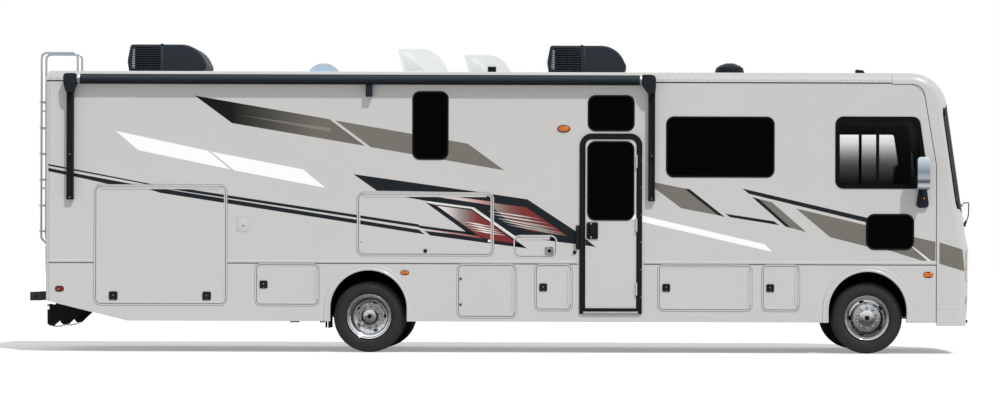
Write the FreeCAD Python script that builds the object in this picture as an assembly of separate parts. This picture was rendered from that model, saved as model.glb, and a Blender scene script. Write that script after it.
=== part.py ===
import FreeCAD, Part
import math
import os

V = FreeCAD.Vector

# Class A motorhome on a front-engined rail chassis.
# Millimetres. +X forward, +Y to the driver's side, +Z up. Z = 0 is the ground, and
# X = 0, Y = 0 is the middle of the whole vehicle, bumper to nose and mirror to mirror.

# ------------------------------------------------------------------ body sizes
BODY_WIDTH = 2560.0
ROOF_Z = 3295.0
EDGE_R = 120.0              # rolled edge of the roof and of the front cap
REAR_CORNER_R = 28.0
WALL_T = 50.0               # walls and roof
REAR_X = -5329.0            # outer face of the rear wall
NOSE_X = 5528.0             # foremost point, on the centreline
BELT_Z = 1045.0             # joint between the upper walls and the skirts
SKIRT_Z = 365.0
FLOOR_TOP = 1090.0
FLOOR_T = 80.0
PANEL_GAP = 3.0             # between fixed panels
DOOR_GAP = 6.0              # round every moving panel
PROUD = 8.0                 # bonded glass and mouldings stand this far off the walls
GLASS_T = 6.0
SHEET_T = 6.0               # storage boxes and wheel houses

# ------------------------------------------------------------------ running gear sizes
WHEELBASE = 5840.0
REAR_AXLE_X = -1550.0
TYRE_R = 419.0
TYRE_W = 248.0
RIM_R = 248.0
WHEEL_Y = BODY_WIDTH / 2 - 205.0    # centre of the outer tyres
DUAL_SPACING = 282.0
KINGPIN_Y = WHEEL_Y - 225.0
STEER_ARM = 230.0
DRIVE_BEARING_X = 300.0
RAIL_Y = 430.0              # outer face of the frame rails
RAIL_H = 230.0
RAIL_Z = 650.0
SPRING_Y = 560.0
SHAFT_Z = 620.0             # height of the drive shaft's front half
ENGINE_Z = (520.0, 1150.0)
ENGINE_HALF = 320.0
EXHAUST = (245.0, 600.0, 35.0)      # y, z and radius of the pipe
STEP_DEPTH = 620.0          # stepwell, in from the wall
HOUSE_Y = 620.0             # inner side of the wheel houses
SPINDLE_R = 34.0
HUB_R = 44.0                # bore of the rear hubs
RUN_CLEAR = 0.1             # radial clearance in the hubs

# ------------------------------------------------------------------ worked out from those
HALF = BODY_WIDTH / 2
INNER = HALF - WALL_T
EAVES_Z = ROOF_Z - EDGE_R
FLOOR_Z = FLOOR_TOP - FLOOR_T
FRONT_AXLE_X = REAR_AXLE_X + WHEELBASE
LEAF_T = WALL_T - DOOR_GAP  # thickness of the doors in the skirts and walls
WALL_REAR_X = REAR_X + 40.0   # rear end of the side walls and skirts

# leaf springs, columns: place, axle, reach behind it, reach ahead of it
SPRINGS = [
    ("rear", REAR_AXLE_X, 770.0, 820.0),
    ("front", FRONT_AXLE_X, 700.0, 700.0),
]

# ------------------------------------------------------------------ front cap
CAP_PLAN_R = 14000.0        # bow of the nose seen from above
CAP_SPARE = 45.0            # the bowed form is turned this far past the sides, then trimmed
CAP_T = 35.0
CAP_Z = 330.0
CAP_LAP = 60.0              # strip behind the joint, bonded to the walls and roof
LAP_T = 10.0
REBATE = 25.0               # lamps and windshield are seated on a rebate this wide
PANE_T = 8.0
CAP_SEAM_X = 5095.0         # joint with the side walls, below the knee
CAP_KNEE_Z = 2205.0
CAP_BROW_X = 4931.0
CAP_BROW_Z = ROOF_Z - 138.0
ROOF_SEAM_X = 4575.0
# columns: set back from the nose, height, corner radius; from the bottom to the roof
CAP_PROFILE = [
    (30.0, CAP_Z, 0.0),
    (8.0, 560.0, 300.0),
    (0.0, 1230.0, 200.0),
    (31.0, 1350.0, 200.0),
    (313.0, ROOF_Z, 430.0),
]
WINDSHIELD = {"half": HALF - 24.0, "z0": 1640.0, "z1": 2945.0, "corner": 120.0}
GRILLE = {"half": 560.0, "z0": 700.0, "z1": 1120.0, "corner": 60.0}
INTAKE = {"half": 640.0, "z0": 385.0, "z1": 500.0, "corner": 40.0}
HEADLAMP = {"y0": 700.0, "y1": HALF - 26.0, "z0": 830.0, "z1": 1240.0, "corner": 70.0}
FOG_LAMP = {"y0": 940.0, "y1": HALF - 30.0, "z0": 575.0, "z1": 690.0, "corner": 45.0}

# ------------------------------------------------------------------ wheel arches
# columns: axle, radius, height of the circle's centre
ARCHES = [
    ("rear", REAR_AXLE_X, 448.0, 514.0),
    ("front", FRONT_AXLE_X, 457.0, 505.0),
]
ARCH_TRIM = 68.0
TAIL_RISE_X = -4376.0       # the skirt slopes up behind this
TAIL_RISE = 235.0

# ------------------------------------------------------------------ doors, hatches and glass
# columns: x0, x1, z0, z1
ENTRY_FRAME = (918.0, 1649.0, 460.0, 2571.0)
ENTRY_BAR = 62.0            # width of the frame's bars
ENTRY_CORNER = 140.0
ENTRY_GLASS = (1006.0, 1556.0, 1553.0, 2482.0)

# columns: node, x0, x1, z0, z1
RIGHT_SIDE_DOORS = [
    ("right_compartment_door_1", -2862.0, -2143.0, 560.0, 1027.0),
    ("right_compartment_door_2", -498.0, 161.0, 425.0, 1027.0),
    ("right_compartment_door_3", 410.0, 817.0, 512.0, 1027.0),
    ("right_compartment_door_4", 1849.0, 2921.0, 510.0, 1027.0),
    ("right_compartment_door_5", 3065.0, 3477.0, 510.0, 1027.0),
]
CLIPPED_DOOR = "right_compartment_door_2"    # closed by two small clips; the others have a paddle
LEFT_SIDE_DOORS = [
    ("left_compartment_door_1", -2862.0, -2143.0, 560.0, 1027.0),
    ("left_compartment_door_2", 1849.0, 2921.0, 510.0, 1027.0),
]
# columns: node, x0, x1, z0, z1, depth of the box behind it
TOP_HATCHES = [
    ("rear_hatch", -4746.0, -3222.0, 563.0, 1942.0, 720.0),
    ("tv_hatch", -1671.0, -102.0, 1150.0, 1860.0, 180.0),
    ("service_hatch", 161.0, 639.0, 1129.0, 1365.0, 180.0),
]
SIDE_BOX_DEPTH = 600.0
# columns: x0, x1, z0, z1, corner radius
RIGHT_WINDOWS = [
    (-1041.0, -620.0, 2259.0, 3058.0, 90.0),
    (1012.0, 1557.0, 2599.0, 3018.0, 90.0),
    (1929.0, 3195.0, 2062.0, 2772.0, 90.0),
    (4270.0, 4830.0, 1220.0, 1639.0, 100.0),
]
LEFT_WINDOWS = [
    (-2150.0, -1650.0, 2259.0, 2858.0, 90.0),
]
# the cockpit window leans with the windshield: x0, x1 at the foot, x1 at the top, z0, z1
COCKPIT = (3908.0, 5015.0, 4893.0, 1934.0, 2779.0)
COCKPIT_BAR = 52.0
COCKPIT_DIVIDER_X = 4403.0
GLASS_LAP = 20.0            # bonded glass overlaps its opening by this

# columns: node, x0, x1, z0, z1, window x0, x1, z0, z1
SLIDE_ROOMS = [
    ("bedroom_slide", -4700.0, -2600.0, 1150.0, 2980.0, -4000.0, -3300.0, 1900.0, 2650.0),
    ("living_slide", -300.0, 3000.0, 1150.0, 2980.0, 700.0, 2000.0, 1950.0, 2650.0),
]
SLIDE_DEPTH = 790.0
SLIDE_FLANGE = 45.0
SLIDE_WALL = 40.0

# columns: x0, x1, z0, z1
ENTRY_LAMP = (652.0, 808.0, 2580.0, 2670.0)
SIDE_MARKERS = [
    (-5218.0, -5113.0, 702.0, 771.0),
    (-1176.0, -1076.0, 908.0, 964.0),
    (4942.0, 5056.0, 894.0, 965.0),
]

TAIL_LAMP_Y = HALF - 160.0
CLEARANCE_LAMPS_Y = (-1000.0, -200.0, 0.0, 200.0, 1000.0)
CLEARANCE_LAMP_Z = ROOF_Z - 157.0

# ------------------------------------------------------------------ awning, ladder, roof
AWNING_R = 58.0
AWNING_X = (-5066.0, 1790.0)
AWNING_Z = ROOF_Z - 105.0
AWNING_STANDOFF = 14.0
AWNING_ARM_W = 80.0
AWNING_ARM_Z = 1780.0
LADDER_Y = (-980.0, -680.0)
LADDER_TUBE_R = 12.5
LADDER_GAP = 108.0          # rails stand this far behind the rear wall
LADDER_FOOT_Z = 1222.0      # the rails bend in to the wall here
LADDER_HOOP = 220.0         # height of the hoops over the roof
RUNGS = 6
RUNG_PITCH = 305.0
RUNG_Z0 = 1410.0
# columns: x of the rear end, y of the middle
AIR_CONDITIONERS = [(-4529.0, 0.0), (510.0, 0.0)]
AC_L, AC_W, AC_H = 957.0, 700.0, 370.0
AC_RECESS = 22.0            # louvres sit in pockets this deep
VENT_COVERS = [(-1272.0, -250.0), (-524.0, 800.0)]
VENT_L, VENT_W, VENT_H = 577.0, 420.0, 315.0
SKYLIGHT_X = -2198.0


# ================================================================== drawing helpers
def corner_edges(points, radii, closed=True):
    """Edges of straight runs joined by tangent arcs, one radius to a corner."""
    count = len(points)
    ins, outs, arcs = [], [], []
    for i, cur in enumerate(points):
        if radii[i] <= 0.0:
            ins.append(cur)
            outs.append(cur)
            arcs.append(None)
            continue
        back = (points[i - 1] - cur).normalize()
        ahead = (points[(i + 1) % count] - cur).normalize()
        half = back.getAngle(ahead) / 2
        middle = (back + ahead).normalize()
        reach = radii[i] / math.tan(half)
        centre = cur + middle * (radii[i] / math.sin(half))
        ins.append(cur + back * reach)
        outs.append(cur + ahead * reach)
        arcs.append(Part.Arc(ins[i], centre - middle * radii[i], outs[i]).toShape())
    edges = []
    for i in range(count):
        if arcs[i] is not None:
            edges.append(arcs[i])
        j = (i + 1) % count
        if j == 0 and not closed:
            break
        if (outs[i] - ins[j]).Length > 1e-6:
            edges.append(Part.LineSegment(outs[i], ins[j]).toShape())
    return edges


def face_xz(points, radii, y=0.0):
    vectors = [V(x, y, z) for x, z in points]
    return Part.Face(Part.Wire(corner_edges(vectors, radii)))


def plate_xz(points, radii, y0, y1):
    """Plate whose outline is drawn from the side."""
    return face_xz(points, radii, y0).extrude(V(0, y1 - y0, 0))


def plate_yz(points, radii, x0, x1):
    """Plate whose outline is drawn from the front."""
    vectors = [V(x0, y, z) for y, z in points]
    return Part.Face(Part.Wire(corner_edges(vectors, radii))).extrude(V(x1 - x0, 0, 0))


def plate_xy(points, radii, z0, z1):
    """Plate whose outline is drawn from above."""
    vectors = [V(x, y, z0) for x, y in points]
    return Part.Face(Part.Wire(corner_edges(vectors, radii))).extrude(V(0, 0, z1 - z0))


def box(x0, x1, y0, y1, z0, z1):
    return Part.makeBox(x1 - x0, y1 - y0, z1 - z0, V(x0, y0, z0))


def rod(start, end, radius):
    return Part.makeCylinder(radius, (end - start).Length, start, end - start)


def rect(x0, x1, z0, z1):
    return [(x0, z0), (x1, z0), (x1, z1), (x0, z1)]


def grown(sides, by):
    x0, x1, z0, z1 = sides
    return x0 - by, x1 + by, z0 - by, z1 + by


def rounded_plate(sides, radius, y0, y1):
    return plate_xz(rect(*sides), [radius] * 4, y0, y1)


def fused(shapes):
    first = shapes[0]
    return first.fuse(shapes[1:]).removeSplitter() if len(shapes) > 1 else first


def mirrored(shape):
    """The same piece on the other side of the vehicle."""
    return shape.mirror(V(0, 0, 0), V(0, 1, 0))


def both_sides(shape):
    return Part.makeCompound([shape, mirrored(shape)])


def export(node, shape):
    solids = shape.Solids
    whole = solids[0] if len(solids) == 1 else Part.makeCompound(solids)
    whole.exportStep(os.path.join("parts", node + ".step"))
    print(f"{node:28s} solids {len(solids):3d}  faces {len(whole.Faces):4d}  valid {whole.isValid()}")


def tube_path(points, radius, bend):
    """Bent tube along straight runs and tangent arcs."""
    radii = [0.0] + [bend] * (len(points) - 2) + [0.0]
    path = Part.Wire(corner_edges(points, radii, closed=False))
    along = points[1] - points[0]
    ring = Part.Wire(Part.makeCircle(radius, points[0], along))
    return path.makePipeShell([ring], True, False)


# ================================================================== outlines shared by panels
def seam_line(gap):
    """Front edge of the side walls, from the belt up to the eaves; gap moves it back."""
    seam = CAP_SEAM_X - gap
    points = [
        (seam, CAP_KNEE_Z),
        (CAP_BROW_X - gap, CAP_BROW_Z - gap),
        (ROOF_SEAM_X - gap, CAP_BROW_Z - gap),
        (ROOF_SEAM_X - gap, EAVES_Z),
    ]
    return points, [150.0, 200.0, 0.0, 0.0]


def tail_line(x):
    """Height of the skirt's lower edge."""
    if x >= TAIL_RISE_X:
        return SKIRT_Z
    return SKIRT_Z + (TAIL_RISE_X - x) / (TAIL_RISE_X - REAR_X) * TAIL_RISE


def arch_cutter(axle_x, radius, centre_z, y0, y1):
    """Round arch with straight legs down past the skirt."""
    left, right = V(axle_x - radius, y0, 0), V(axle_x + radius, y0, 0)
    lift = V(0, 0, centre_z)
    top = V(axle_x, y0, centre_z + radius)
    edges = [
        Part.LineSegment(left, left + lift).toShape(),
        Part.Arc(left + lift, top, right + lift).toShape(),
        Part.LineSegment(right + lift, right).toShape(),
        Part.LineSegment(right, left).toShape(),
    ]
    return Part.Face(Part.Wire(edges)).extrude(V(0, y1 - y0, 0))


def cockpit_points(by=0.0):
    """Outline of the cockpit window, grown by an amount."""
    x0, foot_x1, top_x1, z0, z1 = COCKPIT
    lean = (top_x1 - foot_x1) / (z1 - z0)
    return [
        (x0 - by, z0 - by),
        (foot_x1 + by - lean * by, z0 - by),
        (top_x1 + by + lean * by, z1 + by),
        (x0 - by, z1 + by),
    ]


# ================================================================== body shell
def openings(side_doors, hatches):
    """Cutters for the doors in one side, over the full thickness of the wall."""
    cutters = []
    for _, x0, x1, z0, z1 in side_doors:
        cutters.append(rounded_plate((x0, x1, z0, z1), 45.0, -HALF - 60, -INNER + 20))
    for _, x0, x1, z0, z1, _ in hatches:
        cutters.append(rounded_plate((x0, x1, z0, z1), 60.0, -HALF - 60, -INNER + 20))
    return cutters


def entry_cutter():
    x0, x1, z0, z1 = grown(ENTRY_FRAME, -12.0)
    radii = [0.0, 0.0, ENTRY_CORNER - 12.0, ENTRY_CORNER - 12.0]
    return plate_xz(rect(x0, x1, z0, z1), radii, -HALF - 60, -INNER + 20)


def belt_moulding(blocked):
    """Half-round strips along the belt, stopped clear of each span in blocked."""
    stops = sorted(blocked)
    starts = [WALL_REAR_X] + [x1 + 20.0 for _, x1 in stops]
    ends = [x0 - 20.0 for x0, _ in stops] + [CAP_SEAM_X - PANEL_GAP]
    strips = []
    for x0, x1 in zip(starts, ends):
        profile = [(-HALF, BELT_Z), (-HALF - 12.0, BELT_Z + 10), (-HALF - 12.0, BELT_Z + 30),
                   (-HALF, BELT_Z + 40)]
        strips.append(plate_yz(profile, [0.0, 6.0, 6.0, 0.0], x0, x1))
    return strips


def side_wall(windows, cutters, blocked):
    seam, seam_radii = seam_line(PANEL_GAP)
    points = [(WALL_REAR_X, BELT_Z), (CAP_SEAM_X - PANEL_GAP, BELT_Z)] + seam + [(WALL_REAR_X, EAVES_Z)]
    wall = plate_xz(points, [0.0, 0.0] + seam_radii + [0.0], -HALF, -INNER)
    for x0, x1, z0, z1, corner in windows:
        sides = grown((x0, x1, z0, z1), -GLASS_LAP)
        wall = wall.cut(rounded_plate(sides, corner - GLASS_LAP, -HALF - 5, -INNER + 5))
    hole = plate_xz(cockpit_points(-GLASS_LAP), [70.0] * 4, -HALF - 5, -INNER + 5)
    wall = wall.cut([hole] + cutters)
    return fused([wall] + belt_moulding(blocked))


def skirt(cutters):
    front = CAP_SEAM_X - PANEL_GAP
    top = BELT_Z - PANEL_GAP
    points = [
        (WALL_REAR_X, tail_line(WALL_REAR_X)), (TAIL_RISE_X, SKIRT_Z),
        (front, SKIRT_Z), (front, top), (WALL_REAR_X, top),
    ]
    panel = plate_xz(points, [0.0] * 5, -HALF, -INNER)
    trims = []
    for _, axle_x, radius, centre_z in ARCHES:
        ring = arch_cutter(axle_x, radius + ARCH_TRIM, centre_z, -HALF - 10, -HALF + 5)
        trims.append(ring.cut(box(axle_x - 900, axle_x + 900, -HALF - 20, -HALF + 20, -10, SKIRT_Z)))
    arches = [arch_cutter(x, r, z, -HALF - 60, -INNER + 20) for _, x, r, z in ARCHES]
    return fused([panel] + trims).cut(arches + cutters)


def rear_wall():
    """Flat rear wall over the full width, with rounded corners and a notch for the frame."""
    front = WALL_REAR_X - PANEL_GAP
    outline = [(front, -HALF), (REAR_X, -HALF), (REAR_X, HALF), (front, HALF)]
    wall = plate_xy(outline, [0.0, REAR_CORNER_R, REAR_CORNER_R, 0.0], tail_line(WALL_REAR_X), EAVES_Z)
    slope = plate_xz([(REAR_X - 10, 0), (TAIL_RISE_X, 0), (TAIL_RISE_X, SKIRT_Z),
                      (REAR_X, tail_line(REAR_X)),
                      (REAR_X - 10, tail_line(REAR_X))], [0.0] * 5, -HALF - 10, HALF + 10)
    notch = box(REAR_X - 10, WALL_REAR_X, -RAIL_Y - 50, RAIL_Y + 50, 0, RAIL_Z + 70)
    return wall.cut([slope, notch])


def roof_section(inset):
    """Cross-section of the roof, open below, with rolled edges."""
    half, top = HALF - inset, ROOF_Z - inset
    points = [(-half, EAVES_Z), (half, EAVES_Z), (half, top), (-half, top)]
    return points, [0.0, 0.0, EDGE_R - inset, EDGE_R - inset]


def roof():
    points, radii = roof_section(0.0)
    shell = plate_yz(points, radii, REAR_X, ROOF_SEAM_X - PANEL_GAP)
    points, radii = roof_section(WALL_T)
    hollow = plate_yz(points, radii, REAR_X + WALL_T, ROOF_SEAM_X)
    shell = shell.cut(hollow)
    skylight_hole = box(SKYLIGHT_X - 140, SKYLIGHT_X + 140, -220, 220, ROOF_Z - WALL_T - 10, ROOF_Z + 10)
    vents = [box(x + 90, x + VENT_L - 160, y - 150, y + 150, ROOF_Z - WALL_T - 10, ROOF_Z + 10)
             for x, y in VENT_COVERS]
    slant = plate_xz([(REAR_X - 10, ROOF_Z - 90), (REAR_X, ROOF_Z - 90), (REAR_X + 34, ROOF_Z + 10),
                      (REAR_X - 10, ROOF_Z + 10)], [0.0] * 4, -HALF - 10, HALF + 10)
    return shell.cut([skylight_hole, slant] + vents)


def cap_form(inset, y_half):
    """Solid nose: a bowed profile turned about a far vertical axis, with rounded corners.

    The inner forms reach below the outer one, so that what they cut is open at the foot.
    """
    rear = 4200.0
    drop = 200.0 if inset else 0.0
    (foot_back, foot_z, _), (next_back, next_z, _) = CAP_PROFILE[:2]
    foot_back += drop * (foot_back - next_back) / (next_z - foot_z)
    foot_z -= drop
    points = [(rear, foot_z), (NOSE_X - foot_back, foot_z)]
    points += [(NOSE_X - back, z) for back, z, _ in CAP_PROFILE[1:]] + [(rear, ROOF_Z)]
    face = face_xz(points, [0.0] + [r for _, _, r in CAP_PROFILE] + [0.0])
    if inset:
        face = Part.Face(face.makeOffset2D(-inset).Wires[0])
    axis = V(NOSE_X - CAP_PLAN_R, 0, 0)
    sweep = math.degrees(math.asin((HALF + CAP_SPARE) / (rear - axis.x)))
    face.rotate(axis, V(0, 0, 1), -sweep)
    solid = face.revolve(axis, V(0, 0, 1), 2 * sweep)
    solid = solid.common(box(rear, NOSE_X + 100, -y_half, y_half, 0, ROOF_Z + 100))
    for side in (-1, 1):
        chain = []
        for edge in solid.Edges:
            bounds = edge.BoundBox
            at_side = abs(bounds.YMin - side * y_half) < 0.01 and abs(bounds.YMax - side * y_half) < 0.01
            if at_side and bounds.XMax > rear + inset + 1 and bounds.ZMax > foot_z + inset + 1:
                chain.append(edge)
        solid = solid.makeFillet(EDGE_R - inset, chain)
    return solid


def cap_territory(gap):
    """Everything ahead of the seam with the side walls and the roof."""
    seam, radii = seam_line(-gap)
    points = [(CAP_SEAM_X + gap, 0.0)] + seam[:-1] + [(ROOF_SEAM_X + gap, ROOF_Z + 50),
                                                      (NOSE_X + 200, ROOF_Z + 50), (NOSE_X + 200, 0.0)]
    return plate_xz(points, [0.0] + radii[:-1] + [0.0] * 3, -HALF - 100, HALF + 100)


def front_opening(lamp, grow=0.0):
    """Prism through the nose for an opening that is centred, or mirrored at both sides."""
    z0, z1 = lamp["z0"] - grow, lamp["z1"] + grow
    corner = lamp["corner"] + grow
    if "half" in lamp:
        half = lamp["half"] + grow
        return plate_yz(rect(-half, half, z0, z1), [corner] * 4, 4600.0, NOSE_X + 100)
    y0, y1 = lamp["y0"] - grow, lamp["y1"] + grow
    return both_sides(plate_yz(rect(y0, y1, z0, z1), [corner] * 4, 4600.0, NOSE_X + 100))


def front_cap(forms):
    """Skin with rebates for its inserts, and a strip that laps behind the walls and roof."""
    outer, pane_back, inner, lap_face, lap_back = forms
    shell = outer.common(cap_territory(0.0))
    shell = shell.cut(inner)
    below = box(4000, NOSE_X + 200, -HALF, HALF, 0, SKIRT_Z)
    strip = lap_face.cut(lap_back).common(cap_territory(-CAP_LAP)).cut(cap_territory(CAP_LAP / 2))
    root = inner.cut(lap_back).common(cap_territory(0.0)).cut(cap_territory(CAP_LAP / 2))
    shell = shell.fuse([strip.cut(below), root.cut(below)])
    for opening in (WINDSHIELD, HEADLAMP, FOG_LAMP):
        recess = front_opening(opening).cut(pane_back)
        shell = shell.cut([recess, front_opening(opening, -REBATE)])
    return shell.cut([front_opening(GRILLE), front_opening(INTAKE)])


def pane(forms, opening):
    """Bonded insert that carries on the skin's own surface across an opening."""
    outer, pane_back = forms[0], forms[1]
    return outer.common(front_opening(opening, -4.0)).cut(pane_back).common(cap_territory(0.0))


def grille(forms):
    """Slats across the grille opening and the intake, on a plate behind the skin."""
    outer, _, inner, lap_face, _ = forms
    pieces = []
    for opening, slats in ((GRILLE, 6), (INTAKE, 2)):
        half, z0, z1 = opening["half"], opening["z0"], opening["z1"]
        plate = inner.cut(lap_face).common(front_opening(opening, 20.0))
        bars = []
        for i in range(slats):
            z = z0 + (z1 - z0) * (i + 0.5) / slats
            bars.append(box(4800, NOSE_X, -half, half, z - 9, z + 9))
        bars = fused(bars).common(front_opening(opening, -4.0)).common(outer).cut(inner)
        pieces.append(fused([plate, bars]))
    return Part.makeCompound(pieces)


# ================================================================== glass
def window_panes(windows):
    return [rounded_plate((x0, x1, z0, z1), corner, -HALF - PROUD, -HALF) for x0, x1, z0, z1,
            corner in windows]


def side_windows():
    right = window_panes(RIGHT_WINDOWS)
    left = [mirrored(p) for p in window_panes(LEFT_WINDOWS)]
    return Part.makeCompound(right + left + cockpit_panes())


def cockpit_panes():
    pane = plate_xz(cockpit_points(-COCKPIT_BAR), [45.0] * 4, -HALF + 4, -HALF + 4 + GLASS_T)
    gap = box(COCKPIT_DIVIDER_X - 18, COCKPIT_DIVIDER_X + 18, -HALF - 30, -HALF + 30, 0, ROOF_Z)
    halves = pane.cut(gap)
    return [halves, mirrored(halves)]


def cockpit_frames():
    """Black frames with a divider bar, seated in and on the wall's opening."""
    outer = plate_xz(cockpit_points(0.0), [95.0] * 4, -HALF - PROUD, -HALF)
    stem = plate_xz(cockpit_points(-GLASS_LAP), [70.0] * 4, -HALF, -INNER)
    hole = plate_xz(cockpit_points(-COCKPIT_BAR), [45.0] * 4, -HALF - 20, -INNER + 10)
    bar = box(COCKPIT_DIVIDER_X - 18, COCKPIT_DIVIDER_X + 18, -HALF - PROUD + 2, -HALF + 24,
              COCKPIT[3] + 30,
              COCKPIT[4] - 30)
    ring = outer.fuse(stem).cut(hole)
    return both_sides(ring.fuse(bar).removeSplitter())


# ================================================================== floor, boxes, wheel houses
def stepwell_sides():
    x0, x1, _, _ = grown(ENTRY_FRAME, 4.0)
    return x0, x1, -INNER, -INNER + STEP_DEPTH


def floor_deck():
    deck = box(WALL_REAR_X - PANEL_GAP, 5000.0, -INNER, INNER, FLOOR_Z, FLOOR_TOP)
    x0, x1, y0, y1 = stepwell_sides()
    step_hole = box(x0, x1, y0 - 1, y1, FLOOR_Z - 1, FLOOR_TOP + 1)
    _, hx0, hx1, _, _, depth = TOP_HATCHES[0]
    locker_hole = box(hx0 - 16, hx1 + 16, -INNER - 1, -INNER + depth + 6, FLOOR_Z - 1, FLOOR_TOP + 1)
    engine_hole = box(FRONT_AXLE_X - 500, 5001, -ENGINE_HALF - 60, ENGINE_HALF + 60, FLOOR_Z - 1,
                      FLOOR_TOP + 1)
    joists = []
    for x in range(-5000, 3700, 1240):
        joists.append(box(x, x + 60, -480, 480, RAIL_Z + RAIL_H, FLOOR_Z))
    return fused([deck.cut([step_hole, locker_hole, engine_hole])] + joists)


def stepwell():
    """Side cheeks and three treads from the entry door up to the floor."""
    x0, x1, y0, y1 = stepwell_sides()
    foot = ENTRY_FRAME[2] + 20
    rise = (FLOOR_TOP - foot) / 3
    run = (y1 - y0) / 3
    pieces = [
        box(x0, x0 + SHEET_T, y0, y1, foot, FLOOR_TOP),
        box(x1 - SHEET_T, x1, y0, y1, foot, FLOOR_TOP),
    ]
    for i in range(3):
        z = foot + i * rise
        front = y0 + i * run
        nosing = 0.0 if i == 0 else 10.0
        pieces.append(box(x0, x1, front - nosing, front + run, z, z + 20))
        pieces.append(box(x0, x1, front + run - 10, front + run, z, z + rise))
    return fused(pieces)


def storage_box(x0, x1, z0, z1, depth, closed_top):
    """Sheet box open to the outside, behind a door's opening."""
    x0, x1, z0 = x0 - 10, x1 + 10, z0 - 10
    top = z1 + 10 if closed_top else FLOOR_Z
    shell = box(x0 - SHEET_T, x1 + SHEET_T, -INNER, -INNER + depth + SHEET_T, z0 - SHEET_T,
                top + (SHEET_T if closed_top else 0))
    return shell.cut(box(x0, x1, -INNER - 1, -INNER + depth, z0, top + (0 if closed_top else 1)))


def storage_boxes():
    boxes = []
    for _, x0, x1, z0, z1 in RIGHT_SIDE_DOORS:
        boxes.append(storage_box(x0, x1, z0, z1, SIDE_BOX_DEPTH, False))
    for _, x0, x1, z0, z1, depth in TOP_HATCHES[:2]:
        boxes.append(storage_box(x0, x1, z0, z1, depth, True))
    for _, x0, x1, z0, z1 in LEFT_SIDE_DOORS:
        boxes.append(mirrored(storage_box(x0, x1, z0, z1, SIDE_BOX_DEPTH, False)))
    return Part.makeCompound(boxes)


def wheel_houses():
    """Open-bottomed sheet boxes over the wheels, hung from the floor."""
    houses = []
    for _, axle_x, radius, _ in ARCHES:
        reach = radius + 100.0
        shell = box(axle_x - reach, axle_x + reach, -INNER, -HOUSE_Y, SKIRT_Z + 60, FLOOR_Z)
        hollow = box(axle_x - reach + SHEET_T, axle_x + reach - SHEET_T, -INNER - 1, -HOUSE_Y - SHEET_T, 0,
                     FLOOR_Z - SHEET_T)
        axle_slot = box(axle_x - 260, axle_x + 260, -HOUSE_Y - 20, -HOUSE_Y + 20, 0, RAIL_Z + 60)
        house = shell.cut([hollow, axle_slot])
        houses.extend([house, mirrored(house)])
    return Part.makeCompound(houses)


# ================================================================== chassis and running gear
def chassis_frame():
    """Two channel rails with cross members, and brackets for the springs."""
    x0, x1 = REAR_X + 60, 5150.0
    rail = box(x0, x1, -RAIL_Y, -RAIL_Y + 80, RAIL_Z, RAIL_Z + RAIL_H)
    rail = rail.cut(box(x0 - 1, x1 + 1, -RAIL_Y + 8, -RAIL_Y + 81, RAIL_Z + 8, RAIL_Z + RAIL_H - 8))
    pieces = [rail, mirrored(rail)]
    for x in (-5200.0, -4100.0, -3000.0, -2300.0, -700.0, 600.0, 1900.0, 3200.0, 5050.0):
        pieces.append(box(x, x + 70, -RAIL_Y + 8, RAIL_Y - 8, RAIL_Z + 60, RAIL_Z + RAIL_H - 60))
    for _, axle_x, rear, front in SPRINGS:
        for x in (axle_x - rear - 60, axle_x + front):
            hanger = box(x, x + 60, -SPRING_Y - 40, -RAIL_Y, RAIL_Z - 130, RAIL_Z + 60)
            pieces.extend([hanger, mirrored(hanger)])
    return fused(pieces)


def leaf_spring(row, seat_z):
    """Tapered pack of leaves between its hangers, bowed down to the axle seat."""
    _, axle_x, rear_reach, front_reach = row
    rear, front = axle_x - rear_reach, axle_x + front_reach
    z = RAIL_Z - 100
    points = [(rear, z), (axle_x - 90, seat_z), (axle_x + 90, seat_z), (front, z),
              (front, z + 24), (axle_x + 90, seat_z + 64), (axle_x - 90, seat_z + 64), (rear, z + 24)]
    radii = [0.0, 300.0, 300.0, 0.0, 0.0, 300.0, 300.0, 0.0]
    return plate_xz(points, radii, -SPRING_Y - 37, -SPRING_Y + 37)


def front_axle():
    """Dropped beam with eyes for the kingpins, and its two leaf springs."""
    x, z = FRONT_AXLE_X, TYRE_R
    beam_points = [(-KINGPIN_Y, z + 38), (-640, z + 38), (-560, z - 2), (560, z - 2), (640, z + 38),
                   (KINGPIN_Y, z + 38),
                   (KINGPIN_Y, z - 38), (640, z - 38), (560, z - 82), (-560, z - 82), (-640, z - 38),
                   (-KINGPIN_Y, z - 38)]
    beam = plate_yz(beam_points, [0.0] * 12, x - 38, x + 38)
    pieces = [beam]
    for side in (-1, 1):
        pieces.append(rod(V(x, side * KINGPIN_Y, z - 38), V(x, side * KINGPIN_Y, z + 38), 46))
    spring = leaf_spring(SPRINGS[1], z - 2)
    pieces.extend([spring, mirrored(spring)])
    whole = fused(pieces)
    for side in (-1, 1):
        whole = whole.cut(rod(V(x, side * KINGPIN_Y, z - 60), V(x, side * KINGPIN_Y, z + 60), 18.5))
    return whole


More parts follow.
